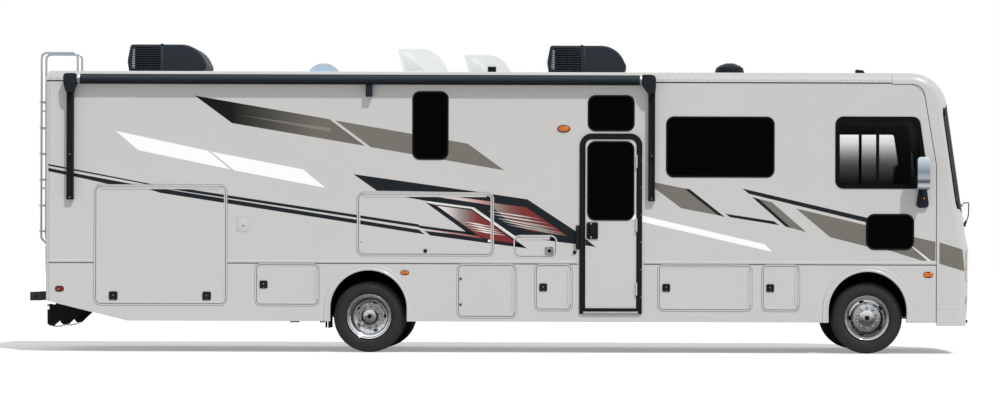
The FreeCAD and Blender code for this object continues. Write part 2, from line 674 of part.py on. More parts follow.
def knuckle():
    """Right steering knuckle: forked ears on a kingpin, spindle and steering arm."""
    x, z = FRONT_AXLE_X, TYRE_R
    y = -KINGPIN_Y
    ears = []
    for z0 in (z + 44, z - 44 - 26):
        ear = rod(V(x, y, z0), V(x, y, z0 + 26), 42)
        ears.append(ear.fuse(box(x - 42, x + 42, y - 72, y, z0, z0 + 26)))
    cheek = box(x - 42, x + 42, y - 72, y - 52, z - 70, z + 70)
    pin = rod(V(x, y, z - 80), V(x, y, z + 80), 18)
    spindle = rod(V(x, y - 60, z), V(x, -WHEEL_Y - 60, z), SPINDLE_R - RUN_CLEAR)
    arm = box(x - STEER_ARM, x - 30, y - 16, y + 16, z - 70, z - 48)
    boss = rod(V(x - STEER_ARM, y, z - 70), V(x - STEER_ARM, y, z - 48), 26)
    eye = rod(V(x - STEER_ARM, y, z - 80), V(x - STEER_ARM, y, z - 40), 9.5)
    return fused(ears + [cheek, pin, spindle, arm, boss]).cut(eye)


def tie_rod():
    """Tube between the steering arms, with a joint over each arm's boss."""
    x, z = FRONT_AXLE_X - STEER_ARM, TYRE_R - 100
    pieces = [rod(V(x, -KINGPIN_Y, z), V(x, KINGPIN_Y, z), 15)]
    for side in (-1, 1):
        pieces.append(rod(V(x, side * KINGPIN_Y, z - 22), V(x, side * KINGPIN_Y, z + 22), 24))
        pieces.append(rod(V(x, side * KINGPIN_Y, z), V(x, side * KINGPIN_Y, z + 56), 9))
    return fused(pieces)


def rear_axle():
    """Housing with its final drive, spring packs and wheel spindles."""
    x, z = REAR_AXLE_X, TYRE_R
    bowl = Part.makeSphere(185, V(x, 0, z)).common(box(x - 150, x + 170, -200, 200, z - 190, z + 190))
    pieces = [
        rod(V(x, -700, z), V(x, 700, z), 62),
        bowl,
        rod(V(x + 100, 0, z), V(x + 260, 0, z), 70),
    ]
    spring = leaf_spring(SPRINGS[0], z + 55)
    seat = box(x - 90, x + 90, -SPRING_Y - 45, -SPRING_Y + 45, z, z + 60)
    spindle = rod(V(x, -690, z), V(x, -WHEEL_Y, z), HUB_R - RUN_CLEAR)
    for piece in (spring, seat, spindle):
        pieces.extend([piece, mirrored(piece)])
    return fused(pieces)


def powertrain():
    """Engine and gearbox as one plain block on mounts, with the two-piece drive shaft."""
    x = FRONT_AXLE_X
    rear_face = x - 1500.0
    nose = V(REAR_AXLE_X + 260, 0, TYRE_R)
    knee = nose + V(75, 0, 0)
    middle = V(DRIVE_BEARING_X, 0, SHAFT_Z)
    inside = RAIL_Y - 8
    pieces = [
        box(x - 420, x + 560, -ENGINE_HALF, ENGINE_HALF, *ENGINE_Z),
        box(rear_face, x - 420, -190, 190, ENGINE_Z[0], RAIL_Z + 60),
        box(x - 200, x - 120, -inside, inside, RAIL_Z + 8, RAIL_Z + 50),
        rod(V(rear_face, 0, SHAFT_Z), middle, 45),
        rod(middle, knee, 45),
        rod(nose, knee, 55),
        Part.makeSphere(60, knee),
        Part.makeSphere(66, middle),
        box(middle.x - 20, middle.x + 20, -inside, inside, RAIL_Z + 10, RAIL_Z + 50),
        box(middle.x - 20, middle.x + 20, -60, 60, SHAFT_Z - 10, RAIL_Z + 20),
    ]
    return fused(pieces)


def underbody_tanks():
    """Fuel, fresh water and waste tanks hung between and beside the rails."""
    tanks = []
    for x0, x1, z0 in ((-4900.0, -3700.0, 560.0), (-3600.0, -2600.0, 560.0)):
        tank = box(x0, x1, -330, 330, z0, RAIL_Z + 60)
        vertical = [e for e in tank.Edges if abs(e.tangentAt(0).z) > 0.99]
        tanks.append(tank.makeFillet(50, vertical))
    return Part.makeCompound(tanks)


def exhaust():
    """Pipe with a muffler along the driver's side of the frame."""
    y, z, radius = EXHAUST
    pipe = rod(V(3750, y, z), V(-200, y, z), radius)
    muffler = rod(V(1500, y, z), V(500, y, z), 100)
    end = HALF - 100
    tail = tube_path([V(-190, y, z), V(-350, y, z), V(-520, y + 235, z - 40), V(-520, y + 655, z - 100),
                      V(-520, end, z - 120)], radius, 90)
    hangers = [box(x, x + 30, y - 12, y + 12, z, RAIL_Z + 60) for x in (620.0, 1910.0, 3210.0)]
    return fused([pipe, muffler, tail] + hangers)


# ================================================================== wheels
def revolve_y(points, centre):
    """Solid turned about the axle line; points are radius and distance outboard."""
    vectors = [V(centre.x, centre.y - out, centre.z + r) for r, out in points]
    vectors.append(vectors[0])
    face = Part.Face(Part.makePolygon(vectors))
    return face.revolve(centre, V(0, 1, 0), 360)


def tyre(centre):
    """Tyre with curved sidewalls and a shallow crown; outboard is towards -Y."""
    half = TYRE_W / 2
    tread = half - 22
    bead = half - 30

    def at(r, out):
        return V(centre.x, centre.y - out, centre.z + r)

    edges = [
        Part.LineSegment(at(RIM_R, -bead), at(RIM_R, bead)).toShape(),
        Part.LineSegment(at(RIM_R, bead), at(RIM_R + 14, bead)).toShape(),
        Part.Arc(at(RIM_R + 14, bead), at((RIM_R + TYRE_R) / 2, half),
                 at(TYRE_R - 22, tread + 10)).toShape(),
        Part.Arc(at(TYRE_R - 22, tread + 10), at(TYRE_R - 7, tread + 3),
                 at(TYRE_R - 1, tread - 12)).toShape(),
        Part.Arc(at(TYRE_R - 1, tread - 12), at(TYRE_R, 0), at(TYRE_R - 1, -tread + 12)).toShape(),
        Part.Arc(at(TYRE_R - 1, -tread + 12), at(TYRE_R - 7, -tread - 3),
                 at(TYRE_R - 22, -tread - 10)).toShape(),
        Part.Arc(at(TYRE_R - 22, -tread - 10), at((RIM_R + TYRE_R) / 2, -half),
                 at(RIM_R + 14, -bead)).toShape(),
        Part.LineSegment(at(RIM_R + 14, -bead), at(RIM_R, -bead)).toShape(),
    ]
    return Part.Face(Part.Wire(edges)).revolve(centre, V(0, 1, 0), 360)


def rim_barrel(centre):
    """Drop-centre rim with bead flanges, inside the tyre."""
    r = RIM_R
    points = [
        (r + 12, 110), (r + 12, 94), (r, 94), (r, 40), (r - 16, 28), (r - 16, -28), (r, -40), (r, -94),
        (r + 12, -94), (r + 12, -110), (r - 9, -110), (r - 9, -44), (r - 26, -34), (r - 26, 34),
        (r - 9, 44), (r - 9, 110),
    ]
    return revolve_y(points, centre)


def hand_holes(centre, radius, turn, out0, out1):
    """Five slots round a disc, the first turned from the top by an angle."""
    middle = centre.z + radius
    sides = (centre.x - 29, centre.x + 29, middle - 13, middle + 13)
    slots = []
    for i in range(5):
        slot = rounded_plate(sides, 12.0, centre.y - out1, centre.y - out0)
        slot.rotate(centre, V(0, 1, 0), turn + 72.0 * i)
        slots.append(slot)
    return slots


def front_wheel():
    """Right front wheel: a disc that stands proud, with its hub on the spindle."""
    centre = V(FRONT_AXLE_X, -WHEEL_Y, TYRE_R)
    disc = revolve_y([
        (RIM_R - 8, 40), (RIM_R - 8, 52), (195, 66), (160, 96), (95, 104), (88, 118), (60, 128), (36, 132),
        (0.0, 132),
        (0.0, 100), (SPINDLE_R, 100), (SPINDLE_R, -60), (60, -60), (60, 88), (155, 84), (188, 54),
    ], centre)
    disc = disc.cut(hand_holes(centre, 200, 54.0, 0, 140))
    return fused([rim_barrel(centre), disc])


def rear_wheels():
    """Right rear pair: a dished outer wheel and its twin, on one hub."""
    outer = V(REAR_AXLE_X, -WHEEL_Y, TYRE_R)
    inner = V(REAR_AXLE_X, -WHEEL_Y + DUAL_SPACING, TYRE_R)
    dish = -(DUAL_SPACING / 2)
    disc = revolve_y([
        (RIM_R - 14, -60), (RIM_R - 14, dish + 40), (200, dish + 22), (160, dish + 14), (105, dish + 14),
        (98, 10), (80, 28),
        (0.0, 32), (0.0, 4), (HUB_R, 4), (HUB_R, dish - 40), (90, dish - 40), (90, dish - 16),
        (160, dish - 16), (206, dish - 6),
        (RIM_R - 4, dish + 30), (RIM_R - 4, -60),
    ], outer)
    back = dish - 16
    mate = revolve_y([
        (RIM_R - 4, back - 205), (RIM_R - 4, back - 18), (206, back), (100, back), (100, back - 12),
        (200, back - 12),
        (RIM_R - 14, back - 30), (RIM_R - 14, back - 205),
    ], outer)
    disc = disc.cut(hand_holes(outer, 183, 15.0, dish - 20, dish + 60))
    return fused([rim_barrel(outer), disc, mate, rim_barrel(inner)])


# ================================================================== doors and hatches
def latch(x, z, size, leaf_y):
    """Paddle latch standing on a leaf."""
    pad = rounded_plate((x - size, x + size, z - size, z + size), size * 0.35, leaf_y - 9, leaf_y + 1)
    paddle = rounded_plate((x - size * 0.6, x + size * 0.6, z - size * 0.75, z + size * 0.6), size * 0.2,
                           leaf_y - 14,
                           leaf_y - 8)
    return [pad, paddle]


def hinge_barrel(start, end, strap):
    """Barrel of a piano hinge with its strap on the leaf."""
    return fused([rod(start, end, 5.0), strap])


HINGE_OUT = 8.0             # hinge lines stand this far off the walls


def side_hinge_x(x1):
    return x1 - DOOR_GAP / 2


def compartment_door(node, x0, x1, z0, z1):
    """Flush leaf hinged at its front edge, with a paddle or two clips at the other."""
    leaf = rounded_plate(grown((x0, x1, z0, z1), -DOOR_GAP), 40.0, -HALF, -HALF + LEAF_T)
    axis_x = side_hinge_x(x1)
    axis_y = -HALF - HINGE_OUT
    strap = box(axis_x - 34, axis_x, axis_y + 3, -HALF + 1, z0 + 60, z1 - 60)
    hinge = hinge_barrel(V(axis_x, axis_y, z0 + 60), V(axis_x, axis_y, z1 - 60), strap)
    if node == CLIPPED_DOOR:
        latches = latch(x0 + 26, z1 - 160, 12, -HALF) + latch(x0 + 26, z0 + 140, 12, -HALF)
    else:
        latches = latch(x0 + 85, (z0 + z1) / 2, 46, -HALF)
    return fused([leaf, hinge] + latches)


def top_hatch(node, x0, x1, z0, z1):
    """Flush leaf hinged along its top, with latches at the foot."""
    leaf = rounded_plate(grown((x0, x1, z0, z1), -DOOR_GAP), 54.0, -HALF, -HALF + LEAF_T)
    axis_z = z1 - DOOR_GAP / 2
    axis_y = -HALF - HINGE_OUT
    strap = box(x0 + 70, x1 - 70, axis_y + 3, -HALF + 1, axis_z - 34, axis_z)
    hinge = hinge_barrel(V(x0 + 70, axis_y, axis_z), V(x1 - 70, axis_y, axis_z), strap)
    if node == "rear_hatch":
        latches = latch(x0 + 210, z0 + 95, 50, -HALF) + latch(x1 - 220, z0 + 95, 50, -HALF)
    elif node == "tv_hatch":
        latches = latch((x0 + x1) / 2, z0 + 42, 20, -HALF)
    else:
        latches = latch(x1 - 75, z0 + 68, 50, -HALF)
    return fused([leaf, hinge] + latches)


ENTRY_LEAF_OUT = PROUD      # the entry leaf's outer face stands this far off the wall
ENTRY_AXIS_OUT = 30.0
ENTRY_FRAME_OUT = 18.0


def entry_door_frame():
    """Bars round the entry door, seated in the wall, with a grab handle beside it."""
    x0, x1, z0, z1 = ENTRY_FRAME
    radii = [0.0, 0.0, ENTRY_CORNER, ENTRY_CORNER]
    flange = plate_xz(rect(x0, x1, z0, z1), radii, -HALF - ENTRY_FRAME_OUT, -HALF)
    inset = [0.0, 0.0, ENTRY_CORNER - 12, ENTRY_CORNER - 12]
    stem = plate_xz(rect(*grown(ENTRY_FRAME, -12.0)), inset, -HALF, -INNER)
    hole_radii = [0.0, 0.0, ENTRY_CORNER - ENTRY_BAR, ENTRY_CORNER - ENTRY_BAR]
    hole = plate_xz(rect(*grown(ENTRY_FRAME, -ENTRY_BAR)), hole_radii, -HALF - 60, -INNER + 10)
    frame = flange.fuse(stem).cut(hole)
    post = x0 - 24.0
    grab = tube_path([V(post, -HALF, 1240), V(post, -HALF - 62, 1240), V(post, -HALF - 62, 1470),
                      V(post, -HALF, 1470)],
                     13, 30)
    foot = rounded_plate((post - 20, x0 + 1, 1215, 1495), 8.0, -HALF - 8, -HALF)
    return fused([frame, foot, grab])


def entry_door():
    """Tall leaf with its window cut, hinge barrels at the front edge and a paddle handle."""
    sides = grown(ENTRY_FRAME, -ENTRY_BAR - DOOR_GAP)
    x0, x1, z0, z1 = sides
    corner = ENTRY_CORNER - ENTRY_BAR - DOOR_GAP
    outer = -HALF - ENTRY_LEAF_OUT
    leaf = plate_xz(rect(*sides), [0.0, 0.0, corner, corner], outer, outer + LEAF_T)
    hole = rounded_plate(grown(ENTRY_GLASS, -GLASS_LAP), 75.0, outer - 5, outer + LEAF_T + 5)
    leaf = leaf.cut(hole)
    axis_x = x1 + DOOR_GAP / 2
    axis_y = -HALF - ENTRY_AXIS_OUT
    pieces = [leaf]
    for z in (z0 + 150, (z0 + z1) / 2 - 90, z1 - 330):
        pieces.append(rod(V(axis_x, axis_y, z), V(axis_x, axis_y, z + 150), 9.0))
        pieces.append(box(axis_x - 9, axis_x + 0.0, axis_y, outer + 10, z, z + 150))
        pieces.append(box(axis_x - 9, x1 - 1, outer - 3, outer + 10, z, z + 150))
        pieces.append(box(x1 - 24, x1 - 0.5, outer - 5, outer + 1, z, z + 150))
    handle = rounded_plate((x0 + 15, x0 + 148, 1335.0, 1532.0), 14.0, outer - 12, outer + 1)
    paddle = rounded_plate((x0 + 52, x0 + 112, 1375.0, 1500.0), 12.0, outer - 26, outer - 11)
    return fused(pieces + [handle, paddle])


def entry_door_window():
    outer = -HALF - ENTRY_LEAF_OUT
    return rounded_plate(ENTRY_GLASS, 95.0, outer - 6, outer)


def slide_room(x0, x1, z0, z1, wx0, wx1, wz0, wz1):
    """Room on the driver's side, open inwards, with an outer flange that covers its gap."""
    gap = 8.0
    outer = box(x0 + gap, x1 - gap, INNER + WALL_T - SLIDE_DEPTH, HALF + gap + 2, z0 + gap, z1 - gap)
    inside = box(x0 + gap + SLIDE_WALL, x1 - gap - SLIDE_WALL, HALF - SLIDE_DEPTH - 1,
                 HALF - SLIDE_WALL + 10,
                 z0 + gap + SLIDE_WALL, z1 - gap - SLIDE_WALL)
    flange = rounded_plate(grown((x0, x1, z0, z1), SLIDE_FLANGE), 30.0, HALF + gap, HALF + gap + 30)
    window = rounded_plate(grown((wx0, wx1, wz0, wz1), -GLASS_LAP), 70.0, HALF - 200, HALF + 100)
    return fused([outer.cut(inside), flange]).cut(window)


def slide_window(wx0, wx1, wz0, wz1):
    y = HALF + 8.0 + 30.0
    return rounded_plate((wx0, wx1, wz0, wz1), 90.0, y, y + PROUD)


# ================================================================== fittings outside
def awning():
    """Roller tube on two folded arms along the curb side, with a middle cradle."""
    y = -HALF - AWNING_STANDOFF - AWNING_R
    x0, x1 = AWNING_X
    pieces = [rod(V(x0, y, AWNING_Z), V(x1, y, AWNING_Z), AWNING_R)]
    for ax in (x0 - 12.0, x1 - 72.0):
        arm = box(ax, ax + AWNING_ARM_W, -HALF - 62, -HALF, AWNING_ARM_Z, AWNING_Z + 20)
        groove = box(ax + 14, ax + AWNING_ARM_W - 14, -HALF - 63, -HALF - 40, AWNING_ARM_Z + 40,
                     AWNING_Z - 90)
        pieces.append(arm.cut(groove))
    pieces.append(box(-1582, -1509, -HALF - 90, -HALF, 2993, AWNING_Z - 30))
    return fused(pieces)


def ladder():
    """Bent-tube ladder on the rear wall whose rails hoop over on to the roof."""
    x = REAR_X - LADDER_GAP
    back = REAR_X + 317.0
    top = ROOF_Z + LADDER_HOOP
    pieces = []
    for y in LADDER_Y:
        points = [V(REAR_X, y, LADDER_FOOT_Z), V(x, y, LADDER_FOOT_Z + LADDER_GAP), V(x, y, top),
                  V(back, y, top),
                  V(back, y, ROOF_Z)]
        pieces.append(tube_path(points, LADDER_TUBE_R, 60))
        for z in (1918.0, 2828.0):
            pieces.append(rod(V(x, y, z), V(REAR_X, y, z), 10))
            pieces.append(rod(V(REAR_X - 6, y, z), V(REAR_X, y, z), 26))
        pieces.append(rod(V(REAR_X - 6, y, LADDER_FOOT_Z), V(REAR_X, y, LADDER_FOOT_Z), 30))
        pieces.append(rod(V(back, y, ROOF_Z), V(back, y, ROOF_Z + 6), 28))
    for i in range(RUNGS):
        z = RUNG_Z0 + i * RUNG_PITCH
        pieces.append(rounded_plate((x - 24, x + 24, z - 9, z + 9), 8.0, *LADDER_Y))
    wall = box(REAR_X, REAR_X + WALL_T, -HALF, HALF, LADDER_FOOT_Z - 60, LADDER_FOOT_Z + 60)
    return fused(pieces).cut(wall)


BUMPER_X = -5528.0          # rear face of the bumper's square tube
BUMPER_Z = 647.0
BUMPER_TUBE = 101.6
BUMPER_HALF = HALF - 100.0
HITCH_X = -5509.0           # rear end of the receiver tube
HITCH_Z = 501.0
RECEIVER = 63.5
RECEIVER_BORE = 51.0
COLLAR = 40.0               # half the width of the collar round the receiver's mouth
PIN_X = HITCH_X + 63        # cross hole for the hitch pin
PIN_ACCESS_R = 20.0         # holes in the drop plates that the pin is put in through
PIN_R = 8.25
CHAIN_R = 14.0


def rear_bumper():
    """Square-tube bumper on brackets from the frame."""
    z, half, wall = BUMPER_Z, BUMPER_TUBE / 2, 5.0
    x1 = BUMPER_X + BUMPER_TUBE
    tube = box(BUMPER_X, x1, -BUMPER_HALF, BUMPER_HALF, z - half, z + half)
    tube = tube.cut(box(BUMPER_X + wall, x1 - wall, -BUMPER_HALF - 1, BUMPER_HALF + 1, z - half + wall,
                        z + half - wall))
    pieces = [tube]
    for y in (-390, 390):
        pieces.append(box(x1, REAR_X + 60, y - 30, y + 30, z + 5, z + 45))
    return fused(pieces)


def hitch_cheek(y):
    """Drop plate from the frame with two lobes along its lower edge."""
    lobes = [
        (REAR_X + 62, RAIL_Z + 120), (REAR_X + 62, HITCH_Z + 40), (HITCH_X + 48, HITCH_Z + 40),
        (HITCH_X + 48, HITCH_Z - 190), (HITCH_X + 76, HITCH_Z - 216), (HITCH_X + 132, HITCH_Z - 216),
        (HITCH_X + 212, HITCH_Z - 146), (HITCH_X + 250, HITCH_Z - 194), (HITCH_X + 312, HITCH_Z - 194),
        (HITCH_X + 446, HITCH_Z - 65), (HITCH_X + 446, RAIL_Z + 120),
    ]
    access = rod(V(PIN_X, y - 10, HITCH_Z), V(PIN_X, y + 10, HITCH_Z), PIN_ACCESS_R)
    return plate_xz(lobes, [0.0] * len(lobes), y - 4, y + 4).cut(access)


def hitch_receiver():
    """Receiver tube under a cross tube, with a pin hole, drop plates and a plate for safety chains."""
    half = RECEIVER / 2
    tube = box(HITCH_X, HITCH_X + 340, -half, half, HITCH_Z - half, HITCH_Z + half)
    collar = box(HITCH_X, HITCH_X + 28, -COLLAR, COLLAR, HITCH_Z - COLLAR, HITCH_Z + COLLAR)
    bore = RECEIVER_BORE / 2
    socket = box(HITCH_X - 1, HITCH_X + 300, -bore, bore, HITCH_Z - bore, HITCH_Z + bore)
    cross = box(HITCH_X + 170, HITCH_X + 260, -RAIL_Y - 8, RAIL_Y + 8, HITCH_Z + half, HITCH_Z + half + 70)
    cheeks = [hitch_cheek(side * (RAIL_Y + 4)) for side in (-1, 1)]
    plate = box(HITCH_X + 70, HITCH_X + 130, -110, 110, HITCH_Z - half - 10, HITCH_Z - half)
    pin = rod(V(PIN_X, -60, HITCH_Z), V(PIN_X, 60, HITCH_Z), PIN_R)
    whole = fused([tube, collar, cross, plate] + cheeks).cut([socket, pin])
    for side in (-1, 1):
        whole = whole.cut(rod(V(HITCH_X + 100, side * 76, HITCH_Z - 60),
                              V(HITCH_X + 100, side * 76, HITCH_Z), CHAIN_R))
    return whole


def air_conditioner(x, y):
    """Shroud with a raked nose and a bulged back; a rib parts it from louvred rear sides."""
    z = ROOF_Z
    half = AC_W / 2
    outline = [(x + 28, z), (x + AC_L - 50, z), (x + AC_L, z + 0.33 * AC_H), (x + AC_L - 120, z + AC_H),
               (x + 40, z + AC_H), (x, z + 0.45 * AC_H)]
    shroud = plate_xz(outline, [0.0, 20.0, 50.0, 300.0, 35.0, 200.0], y - half, y + half)
    sides = [e for e in shroud.Edges if abs(abs(e.CenterOfMass.y - y) - half) < 0.1
             and e.CenterOfMass.z > z + 8]
    shroud = shroud.makeFillet(30.0, sides)
    rib = plate_xz([(x + 0.43 * AC_L, z + 20), (x + 0.48 * AC_L, z + 20), (x + 0.455 * AC_L, z + AC_H + 8),
                    (x + 0.42 * AC_L, z + AC_H + 8)], [0.0, 0.0, 12.0, 12.0], y - half - 8, y + half + 8)
    recess = [(x + 50, z + 55), (x + 0.43 * AC_L, z + 55), (x + 0.41 * AC_L, z + AC_H - 36),
              (x + 66, z + AC_H - 36)]
    for side in (-1, 1):
        outer, inner = sorted((y + side * (half + 5), y + side * (half - AC_RECESS)))
        shroud = shroud.cut(plate_xz(recess, [12.0] * 4, outer, inner))
    return shroud.fuse(rib).removeSplitter()


def vent_cover(x, y):
    """Moulded rain cover with a raked back and a rounded nose, open behind."""
    z = ROOF_Z
    half = VENT_W / 2
    outline = [(x + 76, z), (x + VENT_L, z), (x + VENT_L, z + VENT_H), (x, z + VENT_H)]
    cover = plate_xz(outline, [0.0, 0.0, VENT_H - 15, 12.0], y - half, y + half)
    inner = [(x + 66, z + 40), (x + VENT_L - 14, z + 40), (x + VENT_L - 14, z + VENT_H - 14),
             (x - 12, z + VENT_H - 14)]
    return cover.cut(plate_xz(inner, [0.0, 0.0, VENT_H - 60, 0.0], y - half + 12, y + half - 12))


def half_bubble(x, radii, z):
    """Upper half of an ellipsoid standing on the roof."""
    stretch = FreeCAD.Matrix()
    stretch.scale(V(*radii))
    bubble = Part.makeSphere(1.0).transformGeometry(stretch)
    bubble.translate(V(x, 0, z))
    return bubble.common(box(x - 400, x + 400, -400, 400, z, z + 400))


def roof_domes():
    """Clear skylight bubble, round antenna dome and a small antenna foot."""
    z = ROOF_Z
    outer, inner = half_bubble(SKYLIGHT_X, (200, 290, 170), z), half_bubble(SKYLIGHT_X, (194, 284, 164), z)
    dome = Part.makeCone(180, 165, 120, V(2715, 0, z)).fuse(Part.makeCone(165, 60, 60, V(2715, 0, z + 120)))
    foot = plate_xz([(4240, z), (4395, z), (4330, z + 100), (4240, z + 110)], [0.0, 0.0, 20.0, 6.0], -60,
                    60)
    return [outer.cut(inner), dome, foot]


def mirror():
    """Right outside mirror: foot on the wall, arm and a tall head."""
    foot = plate_xz([(4850.0, 1712.0), (5004.0, 1712.0), (4978.0, 1925.0), (4880.0, 1925.0)],
                    [42.0, 42.0, 18.0, 18.0],
                    -HALF - 40, -HALF)
    arm = tube_path([V(4930, -HALF - 30, 1880), V(4930, -HALF - 190, 1880), V(4930, -HALF - 190, 1960)],
                    18, 50)
    head = rounded_plate((4842.0, 4990.0, 1915.0, 2300.0), 40.0, -HALF - 300, -HALF - 90)
    head_edges = [e for e in head.Edges if abs(e.CenterOfMass.y - (-HALF - 195)) > 100]
    return fused([foot, arm, head.makeFillet(14, head_edges)])


def signal_lamps():
    """Side markers, tail lamps, roof clearance lamps and the lamp beside the entry."""
    pieces = []
    for sides in SIDE_MARKERS:
        marker = rounded_plate(sides, 12.0, -HALF - 10, -HALF)
        pieces.extend([marker, mirrored(marker)])
    pieces.append(rounded_plate(ENTRY_LAMP, 44.0, -HALF - 22, -HALF))
    for side in (-1, 1):
        y = side * TAIL_LAMP_Y
        pieces.append(plate_yz(rect(y - 60, y + 60, 900.0, 1250.0), [30.0] * 4, REAR_X - 22, REAR_X))
    z = CLEARANCE_LAMP_Z
    for y in CLEARANCE_LAMPS_Y:
        pieces.append(plate_yz(rect(y - 50, y + 50, z - 18, z + 17), [10.0] * 4, REAR_X - 18, REAR_X))
    return Part.makeCompound(pieces)


# ================================================================== cab
def dashboard():
    """Dash across the cab with an engine cover between the seats, column and wheel."""
    profile = [(4560.0, 1340.0), (4480.0, 1560.0), (4620.0, 1690.0), (5340.0, 1630.0), (5340.0, 1480.0),
               (4980.0, FLOOR_TOP), (4760.0, FLOOR_TOP)]
    dash = plate_xz(profile, [0.0, 60.0, 90.0, 20.0, 0.0, 0.0, 0.0], -1190.0, 1190.0)
    cover = box(FRONT_AXLE_X - 560, 4900, -390, 390, FLOOR_TOP, FLOOR_TOP + 190)
    hollow = box(FRONT_AXLE_X - 545, 5000, -375, 375, FLOOR_TOP - 1, FLOOR_TOP + 175)
    inside = plate_xz([(4600.0, 1340.0), (4530.0, 1550.0), (4635.0, 1655.0), (5305.0, 1598.0),
                       (5305.0, 1510.0),
                       (4960.0, FLOOR_TOP + 40), (4790.0, FLOOR_TOP + 40)], [0.0] * 7, -1165.0, 1165.0)
    whole = fused([dash, cover]).cut(hollow).cut(inside)
    hub = V(4330, 620, 1640)
    column = rod(V(4600, 620, 1500), hub, 32)
    tilt = (V(4600, 620, 1500) - hub).normalize()
    wheel = Part.makeTorus(205, 15, hub, tilt)
    spoke = rod(hub + V(0, -205, 0), hub + V(0, 205, 0), 11)
    return fused([whole, column, wheel, spoke])


def cab_seats():
    """Two captain's chairs on pedestals."""
    seats = []
    for side in (-1, 1):
        y = side * 690.0
        base = box(3560, 3980, y - 180, y + 180, FLOOR_TOP, FLOOR_TOP + 260)
        cushion = plate_xz([(3480, 1350), (4040, 1350), (4060, 1520), (3480, 1480)],
                           [30.0, 40.0, 50.0, 30.0], y - 270,
                           y + 270)
        back = plate_xz([(3420, 1440), (3560, 1470), (3400, 2180), (3260, 2160)], [40.0] * 4, y - 255,
                        y + 255)
        head = plate_xz([(3290, 2150), (3390, 2170), (3350, 2400), (3260, 2390)], [40.0] * 4, y - 150,
                        y + 150)
        seats.append(fused([base, cushion, back, head]))
    return Part.makeCompound(seats)


# ================================================================== everything
def build():
    os.makedirs("parts", exist_ok=True)
    insets = (0.0, PANE_T, CAP_T, WALL_T, WALL_T + LAP_T)
    forms = [cap_form(inset, HALF - inset) for inset in insets]

    right_cutters = openings(RIGHT_SIDE_DOORS, TOP_HATCHES) + [entry_cutter()]
    left_cutters = openings(LEFT_SIDE_DOORS, [])
    for _, x0, x1, z0, z1, *_ in SLIDE_ROOMS:
        left_cutters.append(box(x0, x1, -HALF - 60, -INNER + 20, z0, z1))
    blocked = [(TOP_HATCHES[0][1], TOP_HATCHES[0][2]), (ENTRY_FRAME[0] - 20, ENTRY_FRAME[1] + 20)]

    export("side_wall_right", side_wall(RIGHT_WINDOWS, right_cutters, blocked))
    export("side_wall_left", mirrored(side_wall(LEFT_WINDOWS, left_cutters, [])))
    export("skirts", Part.makeCompound([skirt(right_cutters), mirrored(skirt(left_cutters))]))
    export("rear_wall", rear_wall())
    export("roof", roof())
    export("front_cap", front_cap(forms))
    export("windshield", pane(forms, WINDSHIELD))
    export("headlamps", Part.makeCompound([pane(forms, HEADLAMP), pane(forms, FOG_LAMP)]))
    export("grille", grille(forms))
    export("side_windows", side_windows())
    export("cockpit_window_frames", cockpit_frames())

    export("floor_deck", floor_deck())
    export("stepwell", stepwell())
    export("storage_boxes", storage_boxes())
    _, x0, x1, z0, z1, depth = TOP_HATCHES[2]
    export("service_box", storage_box(x0, x1, z0, z1, depth, True))
    export("wheel_houses", wheel_houses())
    export("chassis_frame", chassis_frame())
    export("front_axle", front_axle())
    export("rear_axle", rear_axle())
    export("powertrain", powertrain())
    export("underbody_tanks", underbody_tanks())
    export("exhaust", exhaust())

    right_knuckle = knuckle()
    export("knuckle_right", right_knuckle)
    export("knuckle_left", mirrored(right_knuckle))
    export("tie_rod", tie_rod())
    front_tyre = tyre(V(FRONT_AXLE_X, -WHEEL_Y, TYRE_R))
    rear_tyres = Part.makeCompound([tyre(V(REAR_AXLE_X, -WHEEL_Y, TYRE_R)),
                                    tyre(V(REAR_AXLE_X, -WHEEL_Y + DUAL_SPACING, TYRE_R))])
    sets = [("front", front_wheel(), front_tyre), ("rear", rear_wheels(), rear_tyres)]
    for place, wheel, rubber in sets:
        export(f"wheel_{place}_right", wheel)
        export(f"wheel_{place}_left", mirrored(wheel))
        export(f"tyre_{place}_right", rubber)
        export(f"tyre_{place}_left", mirrored(rubber))

    for node, x0, x1, z0, z1 in RIGHT_SIDE_DOORS:
        export(node, compartment_door(node, x0, x1, z0, z1))
    for node, x0, x1, z0, z1 in LEFT_SIDE_DOORS:
        export(node, mirrored(compartment_door(node, x0, x1, z0, z1)))
    for node, x0, x1, z0, z1, _ in TOP_HATCHES:
        export(node, top_hatch(node, x0, x1, z0, z1))
    export("entry_door_frame", entry_door_frame())
    export("entry_door", entry_door())
    export("entry_door_window", entry_door_window())
    for node, x0, x1, z0, z1, wx0, wx1, wz0, wz1 in SLIDE_ROOMS:
        export(node, slide_room(x0, x1, z0, z1, wx0, wx1, wz0, wz1))
        export(node + "_window", slide_window(wx0, wx1, wz0, wz1))

    export("awning", awning())
    export("ladder", ladder())
    export("rear_bumper", rear_bumper())
    export("hitch_receiver", hitch_receiver())
    export("air_conditioners", Part.makeCompound([air_conditioner(x, y) for x, y in AIR_CONDITIONERS]))
    covers = [vent_cover(x, y) for x, y in VENT_COVERS]
    export("roof_vents_and_domes", Part.makeCompound(covers + roof_domes()))
    export("mirrors", both_sides(mirror()))
    export("signal_lamps", signal_lamps())
    export("dashboard", dashboard())
    export("cab_seats", cab_seats())


build()
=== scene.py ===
import math

import bmesh
import bpy
from mathutils import Matrix, Vector
from mathutils.bvhtree import BVHTree


